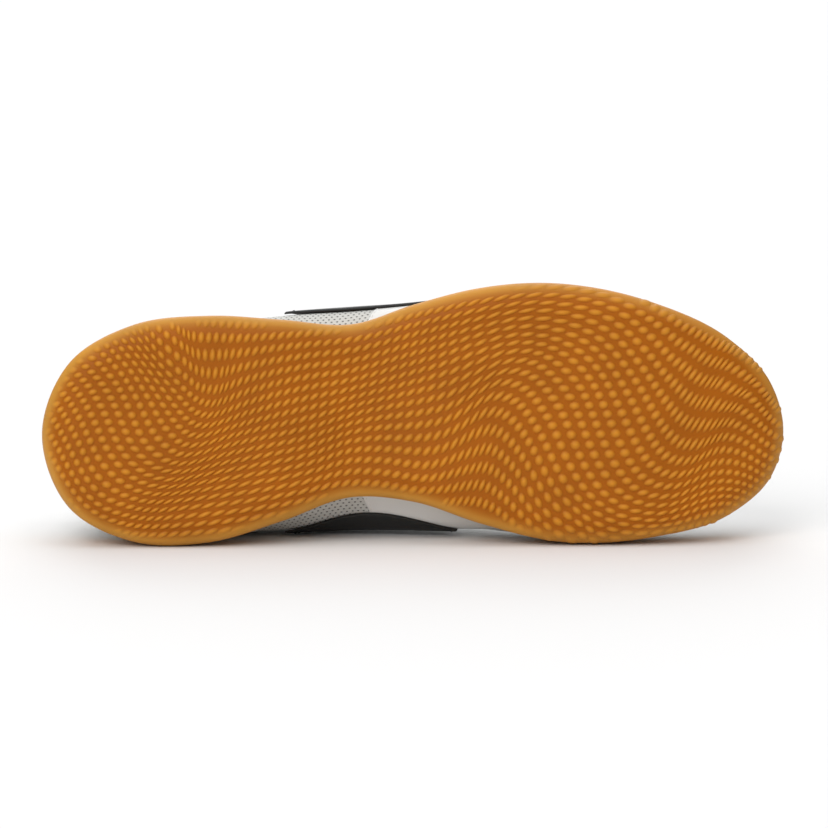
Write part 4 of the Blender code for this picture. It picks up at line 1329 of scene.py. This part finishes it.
def punchEyelets(piece):
    # Real holes through the eyestay, under the rims
    centres, normals, circles = eyeletAxes()
    around = centres[:, None] + circles * lace["eyelet"]
    ends = np.stack([around + normals[:, None] * reach for reach in lace["cut"]], axis=1)
    sides = lace["eyeletSides"]
    faces = []
    for start in range(0, 2 * sides * len(centres), 2 * sides):
        faces += strips(2, sides, start=start).tolist()
        faces += [range(start, start + sides), range(start + sides, start + 2 * sides)[::-1]]
    cutter = addMesh("eyelet_cutter", ends.reshape(-1, 3), faces, eyestayWhite, sharp=None)
    modifier = piece.modifiers.new("eyelets", "BOOLEAN")
    modifier.operation, modifier.solver, modifier.object = "DIFFERENCE", "EXACT", cutter
    cut = bpy.data.meshes.new_from_object(piece.evaluated_get(bpy.context.evaluated_depsgraph_get()))
    piece.modifiers.clear()
    piece.data = cut
    bpy.data.objects.remove(cutter)


punchEyelets(eyestay)
laces = buildLaces()
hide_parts("laces")
rims = buildRims()
print("laces and eyelets")


# Stitches on the upper

stitch = {
    "pitch": 0.0027,
    "length": 0.0019,
    "width": 0.0006,
    "height": 0.0003,
    "fromEdge": 0.0015,        # from the eyestay's lower edge, and from the throat
    "fromThroat": 0.0019,
    "eyestayEnd": 0.08,        # sections left free at the eyestay's ends
    "panel": (0.028, 0.04),    # shares from the sides, and from the bottom and the top
    "vamp": (0.0028, 0.02),
    "collar": (4.7, 0.0045),   # sections each way from the heel, and metres below the edge
}
sewn = []


def sew(name, at, level, offset, finish):
    points, normals = upperFrame(at, level)
    piece = stitchLine(name, points + normals * offset, normals, stitch["pitch"], stitch["length"],
                       stitch["width"], stitch["height"], finish)
    sewn.append(piece)


eyestayFrom = overlays["eyestayStart"] + stitch["eyestayEnd"]
eyestayRun = np.linspace(eyestayFrom, turns - eyestayFrom, 700)
for name, width in (("eyestay_stitches_low", overlays["eyestayWidth"] - stitch["fromEdge"]),
                    ("eyestay_stitches_edge", stitch["fromThroat"])):
    sew(name, eyestayRun, levelBelowEdge(eyestayRun, width), eyestayTop, threadWhite)
panelTop = overlays["panelGap"] + overlays["panelThickness"]
vampTop = overlays["vampGap"] + overlays["vampThickness"]
(panelAside, panelEnd), (vampAside, vampEnd) = stitch["panel"], stitch["vamp"]
for name, side in (("inner", 1), ("outer", -1)):
    way = np.linspace(panelEnd, 1 - panelEnd, 120)
    for edge, aside in (("back", panelAside), ("front", 1 - panelAside)):
        at, level = panelPlace(side)(np.full(len(way), aside), way)
        sew(f"panel_{name}_stitches_{edge}", at, level, panelTop, threadBlack)
    way = np.linspace(vampEnd, 1 - vampEnd, 160)
    at, level = vampPlace(np.full(len(way), vampAside if side > 0 else 1 - vampAside), way)
    sew(f"vamp_stitches_{name}", at, level, vampTop, threadWhite)
collarReach, collarLow = stitch["collar"]
collarRun = np.linspace(-collarReach, collarReach, 500)
sew("collar_stitches", collarRun, levelBelowEdge(collarRun, collarLow), 0.0, threadWhite)
print("stitches", sum(len(piece.data.polygons) for piece in sewn))

for piece in (outsole, treadNubs, upper, vamp, eyestay, tongue, insole, laces, rims, *panels, *sewn):
    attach(piece, "root")


# Floor, light and camera

studio = {
    "sensor": 36.0,
    "floorColour": (0.80, 0.80, 0.80),
    "floorSide": 16.0,
    "floorLevel": -0.0004,     # just under the lowest piece
    "sky": 0.28,
    # each soft light: the way it shines, how wide its source looks in degrees, strength
    "overhead": ((0.0, -0.05, -1.0), 70, 1.55),
    "frontLeft": ((0.35, 0.75, -0.62), 40, 1.6),
    "behind": ((0.05, -0.85, -0.55), 45, 1.1),
}


def buildStudio():
    half = photo["side"] / 2
    aim = [(half - photo[line]) / photo["scale"] for line in ("heel", "middle")] + [photo["widest"]]
    aimPoint = Vector(toRow(np.array([aim]))[0])
    down = rowTurn @ Vector((0, 0, -1))
    data = bpy.data.cameras.new("camera")
    data.sensor_width = studio["sensor"]
    data.lens = studio["sensor"] * photo["distance"] * photo["scale"] / photo["side"]
    data.clip_start, data.clip_end = 0.1, 40.0
    camera = addObject("camera", data)
    right, up = rowTurn @ Vector((1, 0, 0)), rowTurn @ Vector((0, -1, 0))
    turn = Matrix((right, up, down)).transposed()
    camera.matrix_world = Matrix.Translation(aimPoint + down * photo["distance"]) @ turn.to_4x4()
    scene.camera = camera

    side = studio["floorSide"] / 2
    mesh = bpy.data.meshes.new("floor")
    corners = [(-side, -side, 0), (side, -side, 0), (side, side, 0), (-side, side, 0)]
    mesh.from_pydata(corners, [], [(0, 1, 2, 3)])
    made, *_ = startFinish("floor_white", studio["floorColour"], 0.9, **{"Specular IOR Level": 0.1})
    mesh.materials.append(made)
    floor = addObject("floor", mesh)
    floor.location.z = studio["floorLevel"]


def softLight(name, way, spread, strength):
    data = bpy.data.lights.new(name, "SUN")
    data.energy, data.angle = strength, math.radians(spread)
    light = addObject(name, data)
    light.rotation_mode = "QUATERNION"
    light.rotation_quaternion = Vector(way).to_track_quat("-Z", "Y")
    light.location = (0, 0, 2)


buildStudio()
softLight("overhead", *studio["overhead"])
softLight("front_left", *studio["frontLeft"])
softLight("behind", *studio["behind"])
world = bpy.data.worlds.new("studio")
world.use_nodes = True
world.node_tree.nodes["Background"].inputs["Color"].default_value = (1.0, 1.0, 1.0, 1.0)
world.node_tree.nodes["Background"].inputs["Strength"].default_value = studio["sky"]
scene.world = world
scene.view_settings.view_transform = "Standard"
print("studio ready")
